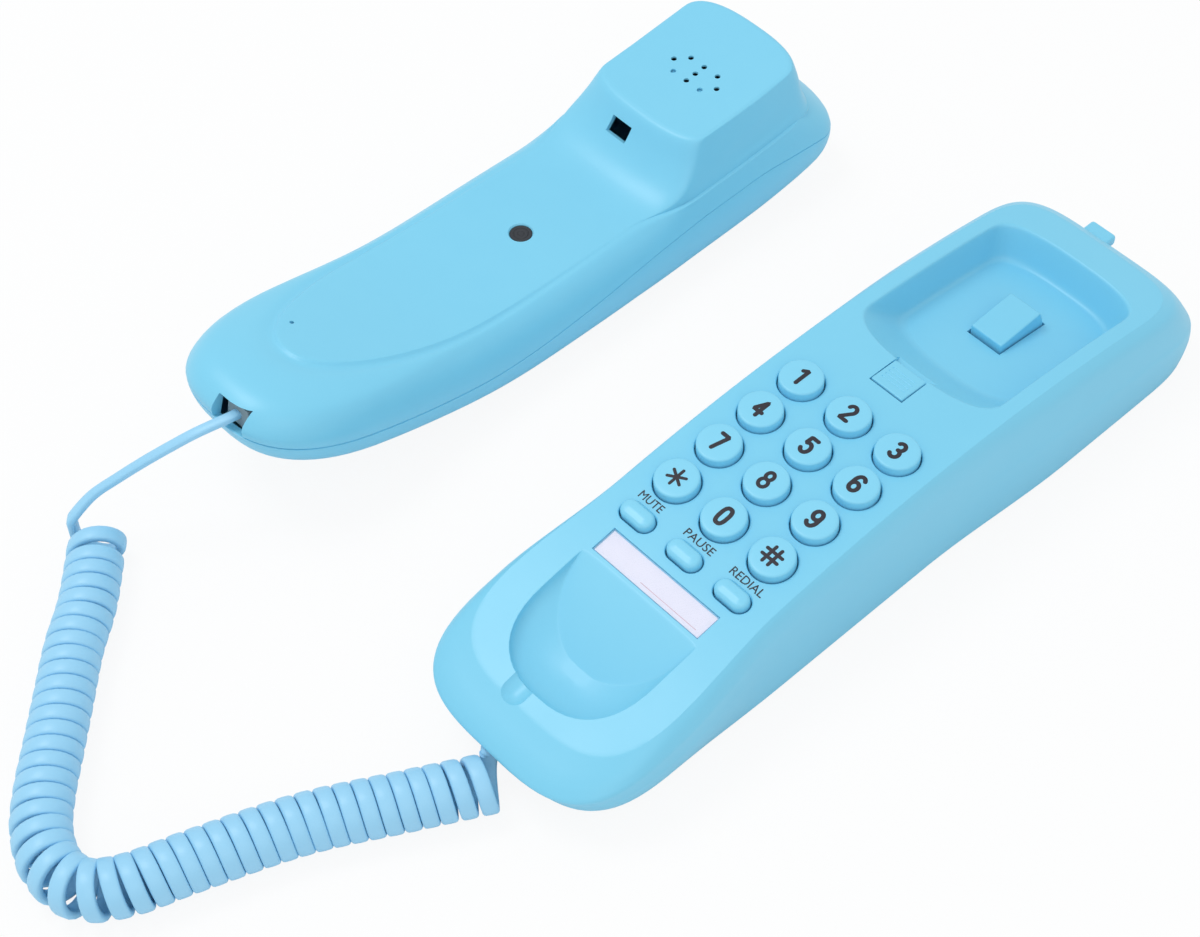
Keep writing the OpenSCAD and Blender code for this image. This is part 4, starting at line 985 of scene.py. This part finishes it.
cutters = [drill("hole", GRILLE_AT[0] + x, GRILLE_AT[1] + y, 30, 37 + lift(GRILLE_AT[1] + y),
                 0.74, 0.06, 0.8) for x, y in GRILLE]
cutters.append(drill("thin_wall", *GRILLE_AT, 30, 33.9 + lift(GRILLE_AT[1]), 11.5))
cutters.append(drill("hole", *PIN_HOLE_AT, 14, face_z(PIN_HOLE_AT[1]) + 0.05, 0.5, 0.1))
cutters.append(drill("recess", *SCREW_AT, 14, face_z(SCREW_AT[1]) + 0.05, 3.05, 0.35))
slot = frustum("slot", (-6, 3.9, 2.7), (0.55, 3.2, 2.0))
throat = frustum("throat", (0.3, 3.2, 2.0), (8, 3.2, 2.0))
for part in (slot, throat):
    part.data.transform(Matrix.Translation((HS_AT + (-3, 40.35, 30)) * MM)
                        @ Matrix.Rotation(math.radians(-30), 4, "X"))
jack_z = float(parting(MOUTH_TIP)) + 3.3 + lift(JACK_Y)
mouth_hole = frustum("mouth_hole", (-13, 5.6, 5.9), (-4.2, 4.95, 5))
mouth_throat = frustum("mouth_throat", (-5, 4.95, 5), (1, 4.95, 5))
for part in (mouth_hole, mouth_throat):
    part.data.transform(Matrix.Translation((HS_AT + (JACK_X, JACK_Y, jack_z - 0.4)) * MM))
combine(front, cutters + [slot, throat, mouth_hole, mouth_throat])
even_normals(front)
print("front shell faces:", len(front.data.polygons))

# %% Back shell
back_levels = [(0, SEAM, 0), (0, 0, -SEAM * 0.6)]
back_levels += [(s, 0, 0) for s in (0.1, 0.22, 0.34, 0.46, 0.57, 0.67, 0.76, 0.84, 0.9, 0.945, 0.975, 1)]
back_levels += [(1, 1, 0)]
rear = stack("handset_back", [hs_ring(s, 0, inset, rise) for s, inset, rise in back_levels][::-1])
rear_inner = stack("back_hollow", [hs_ring(s, 0, WALL, WALL * (s == 1)) for s in (1, 0.75, 0.4, 0)]
                   + [hs_ring(0, 0, WALL, 2)])
combine(rear, [rear_inner])
even_normals(rear)
for obj, node in ((front, "handset_front_shell"), (rear, "handset_back_shell")):
    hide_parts(node)
    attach(obj, "handset")
print("back shell faces:", len(rear.data.polygons))

# %% Screw disc
disc_z = face_z(SCREW_AT[1]) - 0.4
profile = [(0, -1.4), (3, -1.4), (3, -0.2), (2.85, 0), (2.1, 0), (2, -0.12), (1.85, -0.12), (1.75, 0),
           (1, 0), (0.9, -0.1), (0.75, -0.1), (0.65, 0), (0, 0)]
disc = lathe("screw_disc", profile, 48)
disc.data.transform(Matrix.Translation((HS_AT + (*SCREW_AT, disc_z)) * MM))
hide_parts("screw_plug")
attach(disc, "handset")
print("disc ready")

# %% [markdown]
# ## Wound spring and gold contacts
# The real spring is one wire wound on a mandrel, with closed end turns that give it a
# flat seat. A plug carries four equal gold strips side by side. Both are rules with a
# few sizes, so each is grown by a node tree: a wire section swept along a helix, and one
# strip repeated along a line.

# %% Node tools
def node_tree(name, sizes):
    """An empty geometry tree whose inputs are named sizes."""
    tree = bpy.data.node_groups.new(name, "GeometryNodeTree")
    tree.interface.new_socket("Geometry", in_out="OUTPUT", socket_type="NodeSocketGeometry")
    for label, value in sizes.items():
        kind = "NodeSocketInt" if isinstance(value, int) else "NodeSocketFloat"
        tree.interface.new_socket(label, in_out="INPUT", socket_type=kind)
    return tree, tree.nodes.new("NodeGroupInput").outputs


def step_in(tree, kind, sockets, output=0, **settings):
    """Adds a node, fills its sockets by links or values, and hands on one output."""
    node = tree.nodes.new("GeometryNode" + kind if not kind.startswith("Shader") else kind)
    for key, value in settings.items():
        setattr(node, key, value)
    for key, value in sockets.items():
        if isinstance(value, bpy.types.NodeSocket):
            tree.links.new(value, node.inputs[key])
        else:
            node.inputs[key].default_value = value
    return node.outputs[output]


def grown(name, tree, result, sizes, material):
    """Closes a tree with its material and turns what it makes into a plain mesh."""
    real = step_in(tree, "RealizeInstances", {0: result})
    tree.links.new(step_in(tree, "SetMaterial", {0: real, "Material": material}),
                   tree.nodes.new("NodeGroupOutput").inputs[0])
    obj = in_scene(name, bpy.data.meshes.new(name))
    grow = obj.modifiers.new("grow", "NODES")
    grow.node_group = tree
    for item in tree.interface.items_tree:
        if item.in_out == "INPUT":
            grow[item.identifier] = sizes[item.name]
    soften(bake(obj), 40)
    return obj


plain = bpy.data.materials.new("bare_metal")
print("node tools ready")

# %% Spring under the hook button
WIRE_R, CLOSED_PITCH = 0.3, 2.1
sizes = {"Turns": 7.5, "Radius": 2.3 * MM, "Wire": WIRE_R * MM, "Length": 13.9 * MM}
tree, size = node_tree("wound_spring", sizes)
circle = step_in(tree, "CurveSpiral", {
    "Resolution": 28, "Rotations": size["Turns"], "Start Radius": size["Radius"],
    "End Radius": size["Radius"], "Height": 0.0})
share = step_in(tree, "SplineParameter", {})
open_part = step_in(tree, "ShaderNodeMapRange", {"Value": share, 1: 0.14, 2: 0.86},
                    interpolation_type="SMOOTHSTEP")
closed_rise = step_in(tree, "ShaderNodeMath", {0: size["Turns"], 1: CLOSED_PITCH * WIRE_R * MM},
                      operation="MULTIPLY")
open_rise = step_in(tree, "ShaderNodeMath", {0: size["Length"], 1: closed_rise}, operation="SUBTRACT")
low = step_in(tree, "ShaderNodeMath", {0: share, 1: closed_rise}, operation="MULTIPLY")
rise = step_in(tree, "ShaderNodeMath", {0: open_part, 1: open_rise, 2: low}, operation="MULTIPLY_ADD")
helix_line = step_in(tree, "SetPosition", {
    0: circle, "Offset": step_in(tree, "ShaderNodeCombineXYZ", {"Z": rise})})
section = step_in(tree, "CurvePrimitiveCircle", {"Resolution": 10, "Radius": size["Wire"]})
wire = step_in(tree, "CurveToMesh", {0: helix_line, 1: section, "Fill Caps": True})
spring = grown("hook_spring_wire", tree, wire, sizes, plain)
spring.data.transform(moved(0, 63, 3.5))
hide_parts("hook_spring")
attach(spring, "base")
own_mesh(spring)
print("spring faces:", len(spring.data.polygons))

# %% Contacts of the two plugs
sizes = {"Count": 4, "Pitch": 1.02 * MM, "Width": 0.42 * MM, "Length": 3 * MM, "Height": 0.7 * MM}


def contacts(name, place, body):
    """Four gold strips in a row across a plug's nose."""
    tree, size = node_tree(name, sizes)
    line = step_in(tree, "MeshLine", {"Count": size["Count"], "Offset": step_in(
        tree, "ShaderNodeCombineXYZ", {"X": size["Pitch"]})})
    strip = step_in(tree, "MeshCube", {"Size": step_in(tree, "ShaderNodeCombineXYZ", {
        "X": size["Width"], "Y": size["Length"], "Z": size["Height"]})})
    row = step_in(tree, "InstanceOnPoints", {"Points": line, "Instance": strip})
    obj = grown(name, tree, row, sizes, plain)
    obj.data.transform(place @ moved(-1.53, 0, 0))
    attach(obj, body)
    return obj


base_contacts = contacts("base_plug_contacts", moved(0, -94.4, 10.6), "base")
in_handset = moved(*HANDSET_PLUG_END) @ Matrix.Rotation(-JACK_TILT, 4, "X") @ moved(0, 9.8, 2.5)
handset_contacts = contacts("handset_plug_contacts", in_handset, "handset")
print("contacts in each plug:", len(base_contacts.data.polygons) // 6)

# %% [markdown]
# ## Finishes
# Shader sums are written as Python sums. A small class wraps one socket and adds the
# Math nodes, and a second one builds a material round its main shader.

# %% Shader tools
class Signal:
    """A value that varies over a surface."""

    def __init__(self, finish, socket):
        self.finish, self.socket = finish, socket

    def sum(self, operation, other):
        return self.finish.node("ShaderNodeMath", {0: self, 1: other}, operation=operation)

    def __add__(self, other):
        return self.sum("ADD", other)

    def __sub__(self, other):
        return self.sum("SUBTRACT", other)

    def __mul__(self, other):
        return self.sum("MULTIPLY", other)


def srgb(r, g, b):
    """A colour as it looks on screen, turned into light values."""
    return tuple(c / 12.92 if c <= 0.04045 else ((c + 0.055) / 1.055) ** 2.4
                 for c in (r / 255, g / 255, b / 255)) + (1,)


class Finish:
    """A procedural material built round one Principled shader."""

    def __init__(self, name, colour, **values):
        self.material = bpy.data.materials.new(name)
        self.material.use_nodes = True
        self.tree = self.material.node_tree
        self.shader = self.tree.nodes["Principled BSDF"]
        self.shader.inputs["Base Color"].default_value = colour
        for key, value in values.items():
            self.shader.inputs[key.replace("_", " ")].default_value = value
        self.material.diffuse_color = colour

    def node(self, kind, sockets, output=0, **settings):
        """Any node, whose sockets take values or signals."""
        plain_sockets = {key: value.socket if isinstance(value, Signal) else value
                         for key, value in sockets.items()}
        return Signal(self, step_in(self.tree, kind, plain_sockets, output, **settings))

    def set(self, key, signal):
        self.tree.links.new(signal.socket, self.shader.inputs[key])

    def noise(self, scale, detail=2):
        place = self.node("ShaderNodeTexCoord", {}, "Object")
        return self.node("ShaderNodeTexNoise", {"Vector": place, "Scale": scale, "Detail": detail,
                                                "Roughness": 0.5}, noise_dimensions="3D")

    def mix(self, factor, a, b):
        return self.node("ShaderNodeMix", {0: factor, 6: a, 7: b}, 2, data_type="RGBA")

    def bump(self, height, depth, strength):
        self.set("Normal", self.node("ShaderNodeBump", {
            "Height": height, "Distance": depth, "Strength": strength}))


print("shader tools ready")

# %% [markdown]
# The housing is glossy ABS, light sky blue. Such plastic is never one flat colour: the
# pigment drifts a little where the melt flowed, the surface carries a very fine grain,
# and handling leaves faint differences in gloss.

# %% Plastic finishes
def moulded(name, colour, darker, gloss=0.36, grain=0.00002):
    """Glossy moulded plastic with drifting pigment, fine grain and uneven gloss."""
    finish = Finish(name, colour)
    drift = finish.noise(22, 3) * 0.6 + finish.noise(140, 2) * 0.25
    finish.set("Base Color", finish.mix(drift - 0.15, colour, darker))
    finish.set("Roughness", finish.noise(60, 4) * 0.1 + (gloss - 0.05))
    finish.bump(finish.noise(2600, 2) + finish.noise(500, 2) * 0.5, grain, 0.35)
    return finish.material


housing = moulded("sky_blue_plastic", srgb(132, 212, 240), srgb(122, 205, 236))
keys_plastic = moulded("key_plastic", srgb(138, 216, 243), srgb(128, 209, 240), 0.34)
# The cord's blue is painted lighter than the housing's. This is painted light that makes up for the shade
# between its close turns.
cord_lightened_plastic = moulded("cord_vinyl_painted_light", srgb(160, 216, 246), srgb(150, 210, 243), 0.4)
cover_plastic = moulded("bottom_plastic", srgb(122, 209, 243), srgb(112, 200, 237), 0.45)
dark_plastic = moulded("dark_plastic", srgb(44, 58, 66), srgb(34, 46, 54), 0.4)
black_plastic = moulded("black_plastic", srgb(48, 50, 56), srgb(34, 36, 41), 0.38)
rubber = moulded("foot_rubber", srgb(38, 38, 41), srgb(30, 30, 33), 0.7)
mat_rubber = moulded("silicone", srgb(196, 200, 205), srgb(184, 189, 196), 0.6)
board_green = moulded("circuit_board", srgb(44, 112, 68), srgb(36, 98, 58), 0.4)
ink = moulded("legend_ink", srgb(40, 34, 44), srgb(32, 27, 37), 0.5, 0.000004)
red_ink = moulded("card_red_ink", srgb(216, 184, 196), srgb(208, 170, 184), 0.6, 0.000004)
print("plastics ready")


# %% Metal, clear plastic and card
def plated(name, colour, rough):
    """Plated metal with a fine rolled grain."""
    finish = Finish(name, colour, Metallic=1.0)
    finish.set("Roughness", finish.noise(900, 3) * 0.2 + rough)
    finish.bump(finish.noise(3000, 2), 0.00001, 0.3)
    return finish.material


def see_through(name, colour, alpha, scale, rough):
    """Thin clear plastic with a little unevenness in its gloss."""
    finish = Finish(name, colour, Alpha=alpha, IOR=1.5)
    finish.set("Roughness", finish.noise(scale) * 0.1 + rough)
    return finish.material


steel = plated("plated_steel", srgb(205, 208, 212), 0.22)
brass = plated("sounder_brass", srgb(214, 178, 98), 0.25)
gold = plated("contact_gold", srgb(226, 188, 92), 0.2)
clear = see_through("clear_plastic", srgb(214, 234, 240), 0.42, 300, 0.04)
window_clear = see_through("window_plastic", srgb(246, 246, 255), 0.12, 200, 0.05)
paper = Finish("card_stock", srgb(243, 241, 253), Roughness=0.6)
paper.set("Base Color", paper.mix(paper.noise(90, 4), srgb(246, 244, 255), srgb(237, 234, 249)))
paper.bump(paper.noise(1800, 3), 0.00002, 0.3)
card_stock = paper.material
print("metals and clear plastic ready")


# %% Dress every solid and piece
def dress(obj, material):
    """Gives a piece or a CAD solid one finish."""
    if "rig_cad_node" in obj:
        for slot in obj.material_slots:
            slot.link = "OBJECT"
            slot.material = material
    elif len(obj.data.materials):
        obj.data.materials[0] = material
    else:
        obj.data.materials.append(material)


for obj in (base_top, front, rear, hook, tab):
    dress(obj, housing)
for obj in (cord_lead, cord_coil, cord_tail):
    dress(obj, cord_lightened_plastic)
for obj in keys.values():
    dress(obj, keys_plastic)
for obj in digits + words:
    dress(obj, ink)
for obj, finish in ((card, card_stock), (window, window_clear), (card_line, red_ink),
                    (disc, black_plastic), (spring, steel), (base_contacts, gold),
                    (handset_contacts, gold)):
    dress(obj, finish)
by_finish = {
    "housing": housing, "rubber_black": rubber, "steel": steel, "circuit_board": board_green,
    "key_rubber": mat_rubber, "dark_plastic": dark_plastic, "card": card_stock,
    "clear_plastic": clear, "brass_disc": brass, "weight_steel": steel,
    "plug_black": black_plastic, "cord": cord_lightened_plastic}
for row in frame["record"]["subparts"]:
    dress(NODES[row["node"]], by_finish[row["material_slot"]])
dress(NODES["base_bottom_cover"], cover_plastic)
print("solids dressed:", len(NODES))

# %% [markdown]
# ## Floor and light
# A plain pale floor with a white surround, a soft sky and two large lamps. The lamps are
# weak enough that each colour comes out as it is written.

# %% Light the scene
SKY_POWER, FLOOR_GLOW, FLOOR_HALF, FLOOR_Z = 0.74, 0.9, 1500, -0.05
world = bpy.data.worlds.new("studio")
bpy.context.scene.world = world
world.use_nodes = True
sky = world.node_tree
sky.nodes.clear()
seen = step_in(sky, "ShaderNodeMath", {
    0: step_in(sky, "ShaderNodeLightPath", {}, "Is Camera Ray"),
    1: step_in(sky, "ShaderNodeLightPath", {}, "Is Transmission Ray")}, operation="MAXIMUM")
soft = step_in(sky, "ShaderNodeBackground", {"Color": (0.92, 0.97, 1, 1), "Strength": SKY_POWER})
white = step_in(sky, "ShaderNodeBackground", {"Color": (1, 1, 1, 1)})
sky.links.new(step_in(sky, "ShaderNodeMixShader", {0: seen, 1: soft, 2: white}),
              sky.nodes.new("ShaderNodeOutputWorld").inputs[0])


def lamp(name, place, size, power):
    """A square soft lamp that faces the middle of the phone."""
    data = bpy.data.lights.new(name, "AREA")
    data.size, data.energy = size, power
    obj = in_scene(name, data)
    obj.location = place
    obj.rotation_euler = (Vector((-0.04, -0.03, 0)) - Vector(place)).to_track_quat("-Z", "Y").to_euler()


lamp("key_lamp", (-0.5, -0.25, 1.15), 0.5, 4.2)
lamp("fill_lamp", (0.7, -0.5, 0.9), 0.9, 1.6)

floor = piece("floor", [(x * FLOOR_HALF, y * FLOOR_HALF, FLOOR_Z)
                        for x, y in ((-1, -1), (1, -1), (1, 1), (-1, 1))], [(0, 1, 2, 3)])
floor_finish = bpy.data.materials.new("pale_floor")
floor_finish.use_nodes = True
tree = floor_finish.node_tree
tree.nodes.clear()
matte = step_in(tree, "ShaderNodeBsdfDiffuse", {"Color": (0.9, 0.9, 0.9, 1)})
glow = step_in(tree, "ShaderNodeEmission", {"Color": (1, 1, 1, 1)})
share = step_in(tree, "ShaderNodeMath", {
    0: step_in(tree, "ShaderNodeLightPath", {}, "Is Camera Ray"), 1: FLOOR_GLOW}, operation="MULTIPLY")
tree.links.new(step_in(tree, "ShaderNodeMixShader", {0: share, 1: matte, 2: glow}),
               tree.nodes.new("ShaderNodeOutputMaterial").inputs[0])
floor.data.materials.append(floor_finish)
bpy.context.scene.view_settings.view_transform = "Standard"
print("lamps and floor ready")
